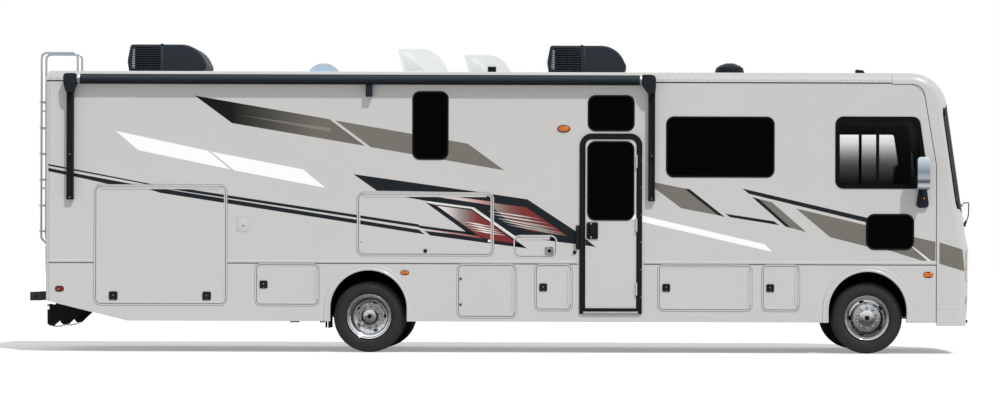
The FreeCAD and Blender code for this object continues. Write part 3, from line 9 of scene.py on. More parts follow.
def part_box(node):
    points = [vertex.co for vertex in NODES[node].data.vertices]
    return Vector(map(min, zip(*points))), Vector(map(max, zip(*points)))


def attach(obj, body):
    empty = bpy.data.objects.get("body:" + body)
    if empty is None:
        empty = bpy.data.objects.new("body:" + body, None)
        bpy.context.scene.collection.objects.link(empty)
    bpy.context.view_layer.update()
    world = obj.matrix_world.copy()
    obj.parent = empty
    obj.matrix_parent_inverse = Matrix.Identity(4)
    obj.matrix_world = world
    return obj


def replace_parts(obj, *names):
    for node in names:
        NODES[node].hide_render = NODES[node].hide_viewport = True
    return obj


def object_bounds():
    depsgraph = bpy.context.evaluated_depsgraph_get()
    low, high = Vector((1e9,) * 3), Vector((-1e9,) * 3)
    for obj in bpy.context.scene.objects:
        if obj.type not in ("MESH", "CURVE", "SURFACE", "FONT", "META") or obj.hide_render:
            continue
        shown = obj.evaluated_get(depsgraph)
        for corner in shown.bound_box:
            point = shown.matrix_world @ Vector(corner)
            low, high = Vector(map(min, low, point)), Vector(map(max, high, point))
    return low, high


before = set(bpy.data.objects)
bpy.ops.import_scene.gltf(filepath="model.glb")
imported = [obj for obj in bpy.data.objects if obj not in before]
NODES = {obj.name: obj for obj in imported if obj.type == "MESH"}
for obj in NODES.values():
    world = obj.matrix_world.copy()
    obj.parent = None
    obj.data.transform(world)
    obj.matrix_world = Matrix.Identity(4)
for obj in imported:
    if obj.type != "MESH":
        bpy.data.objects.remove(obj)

# Class A motorhome. Metres; +X forward, +Y to the driver's side, +Z up.
CAD_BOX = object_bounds()
COACH = "coach"
SIDES = ((-1, "right"), (1, "left"))

WALL_Y = -1.28             # outer face of the curb-side wall
SLIDE_FACE_Y = 1.318        # outer face of the slide rooms
ROOF_Z = 3.295
TYRE_R, RIM_LIP_Y = 0.419, 1.183
FRONT_AXLE_X, REAR_AXLE_X = 4.29, -1.55
WHEEL_Y, DUAL_SPACING = 1.075, 0.282
SKIRT_Y = 1.29             # outer face of the skirts
SIDE_RAY_Y, NOSE_RAY_X = 2.0, 7.0       # where rays at the sides and the nose start
FILM = 0.0006               # thickness of one layer of vinyl film
FILM_SINK = 0.0003          # depth of its back face in the wall
DOOR_GAP = 0.006
HINGE_PAST_LEAF = 0.008     # hinge barrels reach this far past a leaf's edge
TRIM_W = 0.018              # bead round each hatch, on the leaf and on the wall
HATCH_CORNER, DOOR_CORNER = 0.054, 0.04
DIM = 0.12                  # gloss of black pieces, low enough for them to stay black under a white sky
RIGHT_DOORS = [f"right_compartment_door_{i}" for i in range(1, 6)]
LEFT_DOORS = [f"left_compartment_door_{i}" for i in range(1, 3)]
TOP_HATCHES = ["rear_hatch", "tv_hatch", "service_hatch"]
LEAVES = TOP_HATCHES + RIGHT_DOORS + LEFT_DOORS
SLIDES = ["bedroom_slide", "living_slide"]
# columns: x0, x1, z0, z1, corner radius
RIGHT_WINDOWS = [
    (-1.041, -0.62, 2.259, 3.058, 0.09),
    (1.012, 1.557, 2.599, 3.018, 0.09),
    (1.929, 3.195, 2.062, 2.772, 0.09),
    (4.27, 4.83, 1.22, 1.639, 0.1),
]
LEFT_WINDOWS = [(-2.15, -1.65, 2.259, 2.858, 0.09)]
ENTRY_FRAME = (0.918, 1.649, 0.46, 2.571)
ENTRY_GLASS = (1.006, 1.556, 1.553, 2.482)


# ======== materials
def display(r, g, b):
    """Linear colour of an 8-bit display colour."""
    def linear(level):
        level /= 255.0
        return level / 12.92 if level <= 0.04045 else ((level + 0.055) / 1.055) ** 2.4
    return (linear(r), linear(g), linear(b), 1.0)


def scaled(colour, factor):
    return tuple(min(1.0, c * factor) for c in colour[:3]) + (1.0,)


def grey(level):
    return (level, level, level, 1.0)


def shades(*rows):
    """Colour stops from rows of place and display colour."""
    return [(place, display(*colour)) for place, *colour in rows]


class Surface:
    """A material being built: its tree, its shader and short ways to add nodes."""

    def __init__(self, name):
        self.material = bpy.data.materials.new(name)
        self.material.use_nodes = True
        self.tree = self.material.node_tree
        self.shader = self.tree.nodes["Principled BSDF"]
        self.position = self.add("TexCoord").outputs["Object"]

    def feed(self, socket, value):
        """Links an output to a socket, or sets the socket to a fixed value."""
        if isinstance(value, bpy.types.NodeSocket):
            self.tree.links.new(value, socket)
        else:
            socket.default_value = value

    def add(self, kind, feeds=(), **settings):
        node = self.tree.nodes.new("ShaderNode" + kind)
        for key, value in settings.items():
            setattr(node, key, value)
        for key, value in dict(feeds).items():
            self.feed(node.inputs[key], value)
        return node

    def set(self, **values):
        """Feeds the shader's own inputs, named with _ for a space."""
        for key, value in values.items():
            self.feed(self.shader.inputs[key.replace("_", " ")], value)

    def noise(self, scale, detail=3, stretch=(1, 1, 1)):
        place = self.add("Mapping", {"Vector": self.position, "Scale": stretch}).outputs["Vector"]
        return self.add("TexNoise", {"Vector": place, "Scale": scale, "Detail": detail}).outputs["Fac"]

    def mix(self, factor, first, second, blend="MIX"):
        return self.add("Mix", data_type="RGBA", blend_type=blend,
                        feeds={"Factor": factor, 6: first, 7: second}).outputs[2]

    def math(self, operation, first, second=0, third=0.5):
        return self.add("Math", {0: first, 1: second, 2: third}, operation=operation).outputs[0]

    def spread(self, factor, low, high):
        """Maps a 0..1 value to low..high."""
        return self.add("MapRange", {"Value": factor, "To Min": low, "To Max": high}).outputs["Result"]

    def along(self, axis, start, end):
        """0 to 1 as X, Y or Z goes from start to end."""
        value = self.split(self.position).outputs[axis]
        return self.add("MapRange", {"Value": value, "From Min": start, "From Max": end}).outputs["Result"]

    def split(self, vector):
        return self.add("SeparateXYZ", {"Vector": vector})

    def ramp(self, value, stops):
        """Colour ramp over a value; stops are (place, colour)."""
        node = self.add("ValToRGB", {"Fac": value})
        points = node.color_ramp.elements
        for i, (place, colour) in enumerate(stops):
            point = points[i] if i < 2 else points.new(place)
            point.position = place
            point.color = colour
        return node.outputs["Color"]

    def tinted(self, output, colour):
        """A colour output multiplied by a colour, fixed or linked."""
        return self.mix(1, output, colour, "MULTIPLY")

    def finish(self, colour, rough, height=None, strength=0, distance=0, **extra):
        """Colour, roughness, relief and other inputs of the shader."""
        self.set(Base_Color=colour, Roughness=rough, **extra)
        if height:
            bump = self.add("Bump", {"Strength": strength, "Distance": distance, "Height": height})
            self.set(Normal=bump.outputs["Normal"])
        return self.material


def plain(name, colour, rough, grain=300, depth=0.0004, gloss=0.5, vary=0.05, metal=0, blotch=2.5):
    """Surface with a broad drift of colour, a spread of roughness and fine relief."""
    made = Surface(name)
    drift = made.mix(made.noise(blotch), scaled(colour, 1 - vary), scaled(colour, 1 + vary))
    fine = made.noise(grain, 4)
    return made.finish(drift, made.spread(fine, max(0.02, rough - 0.06), min(1, rough + 0.06)),
                       fine, 0.25, depth, Metallic=metal, Specular_IOR_Level=gloss)


def glass(name, tint, rough=0.03):
    made = Surface(name)
    haze = made.noise(6)
    return made.finish(made.mix(haze, scaled(tint, 0.97), tint), made.spread(haze, rough * 0.6, rough * 1.5),
                       Transmission_Weight=1, IOR=1.45)


def dark_glass(name):
    """Privacy glass that hides what is behind it."""
    made = Surface(name)
    haze = made.noise(4)
    return made.finish(made.mix(haze, (0.0002, 0.0002, 0.0003, 1), (0.0005, 0.0005, 0.0007, 1)),
                       made.spread(haze, 0.05, 0.1), Specular_IOR_Level=0.02)


def cockpit_glass(name):
    """Cockpit glass: clear at the top of the panes and dark at the foot, a painted shade of the dark cab seen through
    them.
    """
    made = Surface(name)
    # Painted shade: the panes darken towards the foot.
    tint = made.ramp(made.along("Z", 1.98, 2.56), [(0, grey(0.035)), (0.5, grey(0.26)), (1, grey(0.92))])
    return made.finish(tint, made.spread(made.noise(6), 0.02, 0.05),
                       Transmission_Weight=1, IOR=1.1, Specular_IOR_Level=0.15)


def painted(name, colour, rough=0.32):
    """Gelcoat with a soft orange peel under a thin clear coat."""
    made = Surface(name)
    drift = made.mix(made.noise(1.3, 2), scaled(colour, 0.985), scaled(colour, 1.015))
    peel = made.noise(160, 2)
    return made.finish(drift, made.spread(peel, rough - 0.04, rough + 0.06), peel, 0.1, 0.0003,
                       Specular_IOR_Level=0.35, Coat_Weight=0.25, Coat_Roughness=0.12)


def chrome(name, colour=(0.92, 0.94, 0.97, 1), rough=0.08, depth=1):
    """Plated metal with a painted reflection in its colour, set by the way each face points: taupe where it faces the
    ground, darkest just below the horizon, grey at it and white towards the sky; depth is the share of the colour
    that is painted reflection.
    """
    made = Surface(name)
    swirl = made.noise(26, 4)
    facing = made.split(made.add("NewGeometry").outputs["Normal"])
    up = made.math("MULTIPLY_ADD", facing.outputs["Z"], 0.5)
    # Painted reflection of ground, horizon and sky, read from the upward share of the normal.
    painted_reflection = made.ramp(made.math("ADD", up, made.spread(swirl, -0.1, 0.1)), [
        (0, (0.42, 0.4, 0.37, 1)), (0.22, (0.16, 0.15, 0.14, 1)), (0.4, (0.1, 0.095, 0.09, 1)),
        (0.5, (0.26, 0.25, 0.24, 1)), (0.58, (0.62, 0.64, 0.66, 1)), (0.74, grey(1))])
    return made.finish(made.mix(depth, scaled(colour, 0.9), made.tinted(painted_reflection, colour)),
                       made.spread(swirl, rough * 0.6, rough * 1.6), swirl, 0.06, 0.0004, Metallic=1)


def dotted_fade(name, x0, x1, stops, dots, dot_range):
    """Printed panel: a fade along X with a diagonal half-tone screen laid over it."""
    made = Surface(name)
    reach = made.along("X", x0, x1)
    turn = made.add("Mapping", {"Vector": made.position, "Rotation": (0, math.radians(45), 0),
                                "Scale": (1 / DOT_PITCH,) * 3})
    cell = made.split(turn.outputs["Vector"])
    squares = []
    for axis in ("X", "Z"):
        offset = made.math("SUBTRACT", made.math("FRACT", cell.outputs[axis]), 0.5)
        squares.append(made.math("MULTIPLY", offset, offset))
    from_dot = made.math("SQRT", made.math("ADD", *squares))
    inside = made.math("LESS_THAN", from_dot, made.spread(reach, *dot_range))
    return made.finish(made.mix(inside, made.ramp(reach, stops), dots), made.spread(made.noise(90), 0.35, 0.45),
                       Specular_IOR_Level=DIM)


def film_fade(name, axis, start, end, stops, rough=0.36, **extra):
    """Vinyl film whose colour changes along one axis."""
    made = Surface(name)
    fine = made.noise(220)
    return made.finish(made.ramp(made.along(axis, start, end), stops),
                       made.spread(fine, rough - 0.05, rough + 0.06), fine, 0.08, 0.0002, **extra)


def cells(made, scale, feature):
    """Distances in a cell pattern."""
    pattern = made.add("TexVoronoi", {"Vector": made.position, "Scale": scale}, feature=feature)
    return pattern.outputs["Distance"]


def leather(name, colour):
    made = Surface(name)
    broad = made.noise(5)
    return made.finish(made.mix(broad, scaled(colour, 0.85), scaled(colour, 1.1)),
                       made.spread(broad, 0.42, 0.58), cells(made, 140, "DISTANCE_TO_EDGE"), 0.35, 0.002)


def rubber(name, colour):
    """Tyre rubber: matt, with random grime, painted highlight rings round each axle on the sidewall, and lighter
    towards the tread.
    """
    made = Surface(name)
    spot = made.split(made.position).outputs
    reach = [made.math("ABSOLUTE", made.math("SUBTRACT", spot["X"], axle))
             for axle in (FRONT_AXLE_X, REAR_AXLE_X)]
    flat = made.math("MINIMUM", *reach)
    up = made.math("SUBTRACT", spot["Z"], TYRE_R)
    squares = [made.math("MULTIPLY", way, way) for way in (flat, up)]
    radius = made.math("SQRT", made.math("ADD", *squares))
    # Lighter rings on the sidewall are painted highlights; the ramp also lightens towards the tread.
    stops = [(0, grey(0.75))]
    for ring, highlight_gain in ((0.285, 1.6), (0.316, 1.2), (0.345, 1.5), (0.382, 1.3), (0.403, 1.9)):
        place = (ring - RINGS_START) / RINGS_SPAN
        stops += [(place - 0.014, grey(0.85)), (place, grey(highlight_gain)), (place + 0.014, grey(0.95))]
    rings = made.ramp(made.math("MULTIPLY", made.math("SUBTRACT", radius, RINGS_START), 1 / RINGS_SPAN), stops)
    grime = made.mix(made.noise(9, 6), scaled(colour, 0.8), scaled(colour, 1.25))
    fine = made.noise(260, 3)
    return made.finish(made.tinted(grime, rings), made.spread(fine, 0.58, 0.78), fine, 0.2, 0.0008,
                       Specular_IOR_Level=0.2)


def lens(name, colour):
    """Ribbed lamp lens, coloured in the mass."""
    made = Surface(name)
    ribs = cells(made, 90, "F1")
    return made.finish(made.mix(made.noise(25), scaled(colour, 0.8), scaled(colour, 1.15)),
                       made.spread(ribs, 0.08, 0.2), ribs, 0.5, 0.003, Transmission_Weight=0.25, IOR=1.49)


def planked(name, light, dark):
    """Vinyl plank floor laid along the vehicle."""
    made = Surface(name)
    brick = made.add("TexBrick", {
        "Vector": made.position, "Scale": 1, "Brick Width": 1.2, "Row Height": 0.15, "Mortar Size": 0.002,
        "Color1": light, "Color2": dark, "Mortar": scaled(dark, 0.4)})
    grain = made.noise(12, 6, (1, 14, 14))
    return made.finish(made.mix(made.spread(grain, 0, 0.5), brick.outputs["Color"], scaled(dark, 0.7)),
                       made.spread(grain, 0.4, 0.55), grain, 0.1, 0.0006)


DOT_PITCH = 0.016           # spacing of the printed half-tone dots
RINGS_START, RINGS_SPAN = 0.25, 0.17
TAUPE = (108, 105, 98)
DARK_RED = (120, 44, 42)

# columns: key, name, display colour, roughness, grain, relief, gloss, drift of colour, metal, size of the drift
PLAIN = [
    ("trim", "black_trim", (27, 32, 37), 0.45, 240, 0.0005, DIM),
    ("satin_black", "satin_black", (14, 16, 18), 0.5, 200, 0.0005, DIM),
    # Grey line at the foot of each door's wall bead: painted shade.
    ("line_grey", "door_line", (96, 96, 97), 0.6, 200, 0.0004, DIM),
    # Windshield band: black frit, lightened to a dark taupe as a painted reflection of the glass over it.
    ("border", "windshield_border", (58, 56, 52), 0.5, 200, 0.0004, DIM),
    # Near-black for black frames and wheel houses, and as painted shade in holes, slots and recesses.
    ("void_black", "void_black", (9, 9, 10), 0.85, 300, 0.0004, 0.1),
    ("seal", "rubber_seal", (30, 31, 33), 0.7, 180, 0.0004, DIM),
    ("shell", "air_conditioner_shell", (40, 47, 53), 0.5, 150, 0.0012, DIM),
    ("slats", "air_conditioner_slats", (52, 59, 65), 0.5, 150, 0.0004, DIM),
    ("lining", "cab_lining", (30, 30, 31), 0.8, 140, 0.001, DIM),
    ("chassis", "chassis_paint", (15, 16, 18), 0.55, 90, 0.001, DIM, 0.15, 0, 6),
    ("galvanised", "galvanised_sheet", (140, 144, 146), 0.5, 60, 0.0006, 0.5, 0.12, 0.7, 14),
    ("cast", "cast_iron", (52, 50, 48), 0.7, 110, 0.002, 0.5, 0.2, 0.4, 8),
    ("ladder_tube", "ladder_tube", (168, 176, 184), 0.28, 200, 0.0002, 0.5, 0.03, 0.75),
    ("white_plastic", "white_plastic", (240, 243, 245), 0.45, 150, 0.0004, 0.5, 0.015),
    ("red_brown", "lamp_base", (96, 30, 24), 0.4, 160),
    ("dash", "dash_plastic", (38, 37, 37), 0.62, 110, 0.0015),
    ("film_black", "film_black", (24, 30, 35), 0.4, 220, 0.0002, DIM, 0.06),
    ("film_taupe", "film_taupe", TAUPE, 0.36, 220, 0.0002, 0.5, 0.03),
    ("film_white", "film_white", (250, 251, 250), 0.34, 220, 0.0002, 0.5, 0.01),
    ("film_pale", "film_pale", (226, 226, 222), 0.34, 220, 0.0002, 0.5, 0.02),
]
# columns: name, start and end along X, stops, extra inputs
FADES = [
    ("film_sweep", -3.55, -2.15,
     shades((0, 4.942, 4.942, 4.942), (0.28, 16, 16, 16), (0.6, 72, 70, 66), (1, *TAUPE)),
     {"Specular_IOR_Level": DIM}),
    ("film_highlight", -3.1, -2.2, shades((0, 44, 43, 42), (0.4, 98, 95, 90), (1, 122, 119, 112)), {}),
    ("film_rose", -0.9, -0.1, shades((0, 238, 222, 220), (0.55, 214, 192, 190), (0.8, 190, 150, 148),
                                     (1, 150, 110, 108)), {}),
    ("film_rose_low", -0.95, -0.25, shades((0, 236, 222, 220), (0.4, 196, 150, 148), (1, *DARK_RED)), {}),
    ("film_streak", -0.12, 0.6, shades((0, 246, 247, 246), (0.35, 214, 216, 214), (0.7, 150, 152, 148),
                                       (1, 128, 128, 124)), {}),
]
MAT = {key: plain(name, display(*colour), *row) for key, name, colour, *row in PLAIN}
MAT.update({name: film_fade(name, "X", start, end, stops, **extra) for name, start, end, stops, extra in FADES})
MAT.update({
    "body": painted("body_gelcoat", display(197, 196, 195)),
    "dark_glass": dark_glass("privacy_glass"),
    "cockpit_glass": cockpit_glass("cockpit_glass"),
    "windshield_glass": glass("windshield_glass", (0.72, 0.78, 0.77, 1)),
    "clear": glass("clear_lens", (0.93, 0.95, 0.97, 1)),
    "skylight": glass("skylight_acrylic", (0.66, 0.78, 0.88, 1), 0.12),
    # Awning roll: painted shade darkens its underside and a painted highlight band lies near its top.
    "awning_cloth": film_fade(
        "awning_cloth", "Z", 3.13, 3.25,
        shades((0, 12, 16, 20), (0.4, 30, 37, 42), (0.75, 56, 63, 68), (1, 40, 46, 50)),
        0.7, Specular_IOR_Level=DIM),
    # Mirror heads: the light and dark bands up the shell are a painted reflection on the chrome.
    "mirror_shell": film_fade("mirror_shell", "Z", 1.92, 2.3, [
        (0, (0.05, 0.05, 0.055, 1)), (0.12, (0.55, 0.6, 0.64, 1)), (0.24, (0.05, 0.05, 0.055, 1)),
        (0.36, (0.4, 0.44, 0.48, 1)), (0.55, (0.22, 0.26, 0.3, 1)), (1, (0.66, 0.74, 0.8, 1))], 0.12,
        Metallic=1),
    "mirror": chrome("mirror_glass", (0.72, 0.75, 0.78, 1), 0.02, 0),
    "chrome": chrome("chrome"),
    "satin_metal": chrome("satin_metal", (0.72, 0.76, 0.8, 1), 0.25, 0.85),
    "aluminium": chrome("aluminium", (0.74, 0.75, 0.77, 1), 0.22, 0.5),
    "fins": chrome("heat_exchanger_fins", (0.7, 0.74, 0.78, 1), 0.35, 0.2),
    "amber": lens("amber_lens", display(236, 126, 26)),
    "red": lens("red_lens", display(112, 16, 14)),
    "rubber": rubber("tyre_rubber", display(42, 43, 45)),
    "floor": planked("plank_floor", display(138, 118, 98), display(112, 94, 78)),
    "leather": leather("seat_leather", display(92, 82, 72)),
    "film_panel": dotted_fade("film_panel", -0.76, 0.02, shades(
        (0, 244, 226, 224), (0.2, 206, 200, 198), (0.36, 156, 150, 148), (0.5, 134, 106, 102),
        (0.62, 124, 60, 58), (1, 120, 44, 42)), display(*DARK_RED), (0, 0.52)),
    "film_panel_front": dotted_fade("film_panel_front", -0.08, 0.5, shades(
        (0, 150, 138, 134), (0.3, 126, 92, 90), (0.55, 120, 58, 55), (1, 120, 50, 48)),
        display(*DARK_RED), (0.12, 0.5)),
})


def dress(node, key, rules=()):
    """Gives a carried-over node its material, and others to the faces that a rule picks."""
    mesh = NODES[node].data
    mesh.materials.clear()
    mesh.materials.append(MAT[key])
    for polygon in mesh.polygons:
        polygon.material_index = 0
    for index, (other, picks) in enumerate(rules, 1):
        mesh.materials.append(MAT[other])
        for polygon in mesh.polygons:
            if picks(polygon.center, polygon.normal):
                polygon.material_index = index


# ======== mesh helpers
def piece(name, shape, key, body=COACH, slot=None, smooth=35):
    """Turns a bmesh into a named object that rides on a body."""
    bmesh.ops.recalc_face_normals(shape, faces=shape.faces)
    mesh = bpy.data.meshes.new(name)
    shape.to_mesh(mesh)
    shape.free()
    mesh.materials.append(MAT[key])
    if smooth:
        mesh.polygons.foreach_set("use_smooth", [True] * len(mesh.polygons))
        mesh.set_sharp_from_angle(angle=math.radians(smooth))
    obj = bpy.data.objects.new(name, mesh)
    bpy.context.scene.collection.objects.link(obj)
    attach(obj, body)
    return obj


def assemble(name, key, parts, **where):
    """Piece made of simple forms; each part is a helper and its values."""
    shape = bmesh.new()
    for add, *values in parts:
        add(shape, *values)
    return piece(name, shape, key, **where)


def block(shape, lo, hi, bevel=0, segments=2):
    """Box between two corners with its edges rounded."""
    lo, hi = Vector(lo), Vector(hi)
    made = bmesh.ops.create_cube(shape, size=1)
    size, middle = hi - lo, (hi + lo) / 2
    for vert in made["verts"]:
        vert.co = Vector(v * s for v, s in zip(vert.co, size)) + middle
    if bevel > 0:
        edges = list({e for v in made["verts"] for e in v.link_edges})
        bmesh.ops.bevel(shape, geom=edges, offset=bevel, segments=segments, profile=0.5, affect="EDGES")


def side_block(shape, side, x0, x1, y0, y1, z0, z1, bevel=0, segments=2):
    """Block between two distances to one side of the middle."""
    y0, y1 = sorted((side * y0, side * y1))
    block(shape, (x0, y0, z0), (x1, y1, z1), bevel, segments)


def circle(count, start=0):
    """Cosine and sine of each of so many even steps round a turn."""
    for i in range(count):
        angle = start + 2 * math.pi * i / count
        yield math.cos(angle), math.sin(angle)


def rounded_loop(sides, corner, grow=0, steps=8):
    """Points round a rectangle with rounded corners, counter-clockwise in X and Z."""
    radius = max(corner + grow, 0.0005)
    x0, x1, z0, z1 = grown(sides, grow)
    points = []
    middles = [(x1 - radius, z1 - radius), (x0 + radius, z1 - radius),
               (x0 + radius, z0 + radius), (x1 - radius, z0 + radius)]
    for quarter, (cx, cz) in enumerate(middles):
        for i in range(steps + 1):
            angle = math.pi / 2 * (quarter + i / steps)
            points.append((cx + radius * math.cos(angle), cz + radius * math.sin(angle)))
    return points


def grown(sides, by):
    x0, x1, z0, z1 = sides
    return x0 - by, x1 + by, z0 - by, z1 + by


def skin(shape, rings, closed=False):
    """Skin between rings of points, with a face on each end, or closed from the last ring to the first."""
    made = [[shape.verts.new(p) for p in ring] for ring in rings]
    for a, b in zip(made, made[1:] + (made[:1] if closed else [])):
        count = len(a)
        for i in range(count):
            j = (i + 1) % count
            shape.faces.new((a[i], a[j], b[j], b[i]))
    if not closed:
        shape.faces.new(made[0])
        shape.faces.new(made[-1])


def bead(shape, sides, corner, profile, y, out=-1, steps=8):
    """Moulding round a rounded rectangle; profile rows are growth and height off the wall."""
    skin(shape, [[(x, y + out * height, z) for x, z in rounded_loop(sides, corner, grow, steps)]
                      for grow, height in profile], closed=True)


def drawn_in(outline, y, pull):
    """Outline in X and Z at a distance to the side, with each point pulled towards the middle."""
    middle = Vector((sum(x for x, _ in outline), sum(z for _, z in outline))) / len(outline)
    ring = []
    for x, z in outline:
        inward = (middle - Vector((x, z))).normalized() * pull
        ring.append((x + inward.x, y, z + inward.y))
    return ring


def plate(shape, outline, y0, y1, edge=0):
    """Plate with an outline in X and Z from y0 to its face at y1, whose edge may be eased."""
    eased_by = math.copysign(edge, y1 - y0)
    levels = [(y0, 0), (y1 - eased_by, 0)]
    if edge > 0:
        levels += [(y1 - eased_by * 0.3, edge * 0.35), (y1, edge)]
    skin(shape, [drawn_in(outline, *level) for level in levels])


def standing_plate(shape, sides, corner, x0, x1, edge):
    """Plate facing backwards, with an outline in Y and Z, from x0 to its face at x1."""
    skin(shape, [[(x, y, z) for y, z in rounded_loop(sides, corner, -pull, 6)] for x, pull in (
        (x0, 0), (x1 + edge, 0), (x1 + edge * 0.3, edge * 0.35), (x1, edge))])


def tube(shape, points, radius, sides=16, bend=0, steps=6):
    """Round bar along straight runs; corners are eased by bend."""
    path = eased(points, [bend] * len(points), steps) if bend > 0 else [Vector(p) for p in points]
    rings = []
    side = None
    for i, point in enumerate(path):
        ahead = (path[min(i + 1, len(path) - 1)] - path[max(i - 1, 0)]).normalized()
        if side is None:
            side = ahead.orthogonal().normalized()
        side = (side - ahead * side.dot(ahead)).normalized()
        across = ahead.cross(side)
        rings.append([point + side * (radius * c) + across * (radius * s) for c, s in circle(sides)])
    skin(shape, rings)


def turned(back, corner, ahead, bend, steps):
    """Points that turn a corner, from bend before it to bend past it."""
    start = corner + (back - corner).normalized() * bend
    end = corner + (ahead - corner).normalized() * bend
    shares = (i / steps for i in range(steps + 1))
    return [start.lerp(corner, t).lerp(corner.lerp(end, t), t) for t in shares]


def eased(points, bends, steps):
    """Straight runs whose corners are turned, each by its own bend."""
    points = [Vector(p) for p in points]
    path = [points[0]]
    for back, corner, ahead, bend in zip(points, points[1:], points[2:], bends):
        path += turned(back, corner, ahead, bend, steps)
    return path + [points[-1]]


def soft_outline(corners, bend, steps=5):
    """Closed outline whose corners are eased by bend; a list gives each corner its own."""
    corners = [Vector(c) for c in corners]
    bends = bend if isinstance(bend, list) else [bend] * len(corners)
    points = []
    for trio in zip(corners[-1:] + corners[:-1], corners, corners[1:] + corners[:1], bends):
        points += [tuple(p) for p in turned(*trio, steps)]
    return points


def lathe(shape, profile, centre, segments=64, axis="Y", closed=False):
    """Turned form; profile rows are radius and distance along the axis."""
    rings = []
    for radius, along in profile:
        ring = []
        for c, s in circle(segments):
            u, v = radius * c, radius * s
            place = {"X": (along, u, v), "Y": (u, along, v), "Z": (u, v, along)}[axis]
            ring.append(Vector(centre) + Vector(place))
        rings.append(ring)
    skin(shape, rings, closed)


def disc(shape, x, z, radius, y0, y1, segments=20):
    """Round boss standing on a side wall, with an eased rim."""
    rise = (y1 - y0) * 0.3
    profile = [(radius, y0), (radius, y1 - rise), (radius * 0.86, y1), (radius * 0.3, y1)]
    lathe(shape, profile, (x, 0, z), segments)


def ribbon(shape, path, profile, y, side):
    """Strip along a path in X and Z; profile rows are offset across it and height off the wall."""
    path = [Vector(p) for p in path]
    rings = []
    for i, point in enumerate(path):
        along = (path[min(i + 1, len(path) - 1)] - path[max(i - 1, 0)]).normalized()
        across = Vector((-along.y, along.x))
        spots = [(point + across * offset, height) for offset, height in profile]
        rings.append([(spot.x, y + side * height, spot.y) for spot, height in spots])
    skin(shape, rings)


def sheet(shape, layers):
    """Thin closed sheet between two equal grids of points."""
    back, front = ([[shape.verts.new(p) for p in column] for column in grid] for grid in layers)
    columns, rows = len(back) - 1, len(back[0]) - 1
    for i in range(columns):
        for j in range(rows):
            for grid in (back, front):
                shape.faces.new((grid[i][j], grid[i + 1][j], grid[i + 1][j + 1], grid[i][j + 1]))
    edge = [(i, 0) for i in range(columns)] + [(columns, j) for j in range(rows)]
    edge += [(i, rows) for i in range(columns, 0, -1)] + [(0, j) for j in range(rows, 0, -1)]
    for (i, j), (k, m) in zip(edge, edge[1:] + edge[:1]):
        shape.faces.new((back[i][j], back[k][m], front[k][m], front[i][j]))


def surface_of(node):
    """Tree of a carried-over node's own faces, for casting rays at it."""
    mesh = NODES[node].data
    return BVHTree.FromPolygons([v.co for v in mesh.vertices], [p.vertices for p in mesh.polygons])


def cast(tree, start, way):
    """Where a ray meets a surface, and the surface's normal on the side the ray comes from."""
    hit, normal, _, _ = tree.ray_cast(Vector(start), Vector(way))
    if hit is not None and normal.dot(Vector(way)) > 0:
        normal = -normal
    return hit, normal


def cast_from_side(tree, side, x, z):
    return cast(tree, (x, side * SIDE_RAY_Y, z), (0, -side, 0))


def on_nose(tree, y, z, sink=0, middle=(0, 2.3)):
    """Point of the nose at a distance to the side and a height; past an edge, the edge towards middle."""
    way = (Vector(middle) - Vector((y, z))).normalized() * 0.003
    for pull in range(40):
        hit, normal = cast(tree, (NOSE_RAY_X, y + way.x * pull, z + way.y * pull), (-1, 0, 0))
        if hit is not None:
            break
    return hit - normal * sink


def leaf_sides(node):
    """Sides of a door's own leaf, without its hinge barrel."""
    x0, x1, z0, z1 = box_sides(node)
    if node in TOP_HATCHES:
        return x0, x1, z0, z1 - HINGE_PAST_LEAF
    return x0, x1 - HINGE_PAST_LEAF, z0, z1


def box_sides(node):
    lo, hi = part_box(node)
    return lo.x, hi.x, lo.z, hi.z


# ======== carried-over nodes
DRESSES = {
    "body": ["side_wall_right", "side_wall_left", "skirts", "rear_wall", "front_cap", "roof", *SLIDES],
    "dark_glass": ["entry_door_window", "bedroom_slide_window", "living_slide_window"],
    "trim": ["awning", "grille", "entry_door_frame"],
    "void_black": ["cockpit_window_frames", "wheel_houses"],
    "slats": ["rear_bumper"],
    "chassis": ["chassis_frame", "hitch_receiver", "powertrain", "underbody_tanks"],
    "cast": ["front_axle", "rear_axle", "knuckle_right", "knuckle_left", "tie_rod"],
    "galvanised": ["storage_boxes", "service_box", "exhaust"],
    "ladder_tube": ["ladder"],
    "windshield_glass": ["windshield"],
    "clear": ["headlamps"],
    "dash": ["dashboard", "stepwell"],
    "chrome": [f"wheel_{place}_{name}" for place in ("front", "rear") for _, name in SIDES],
}


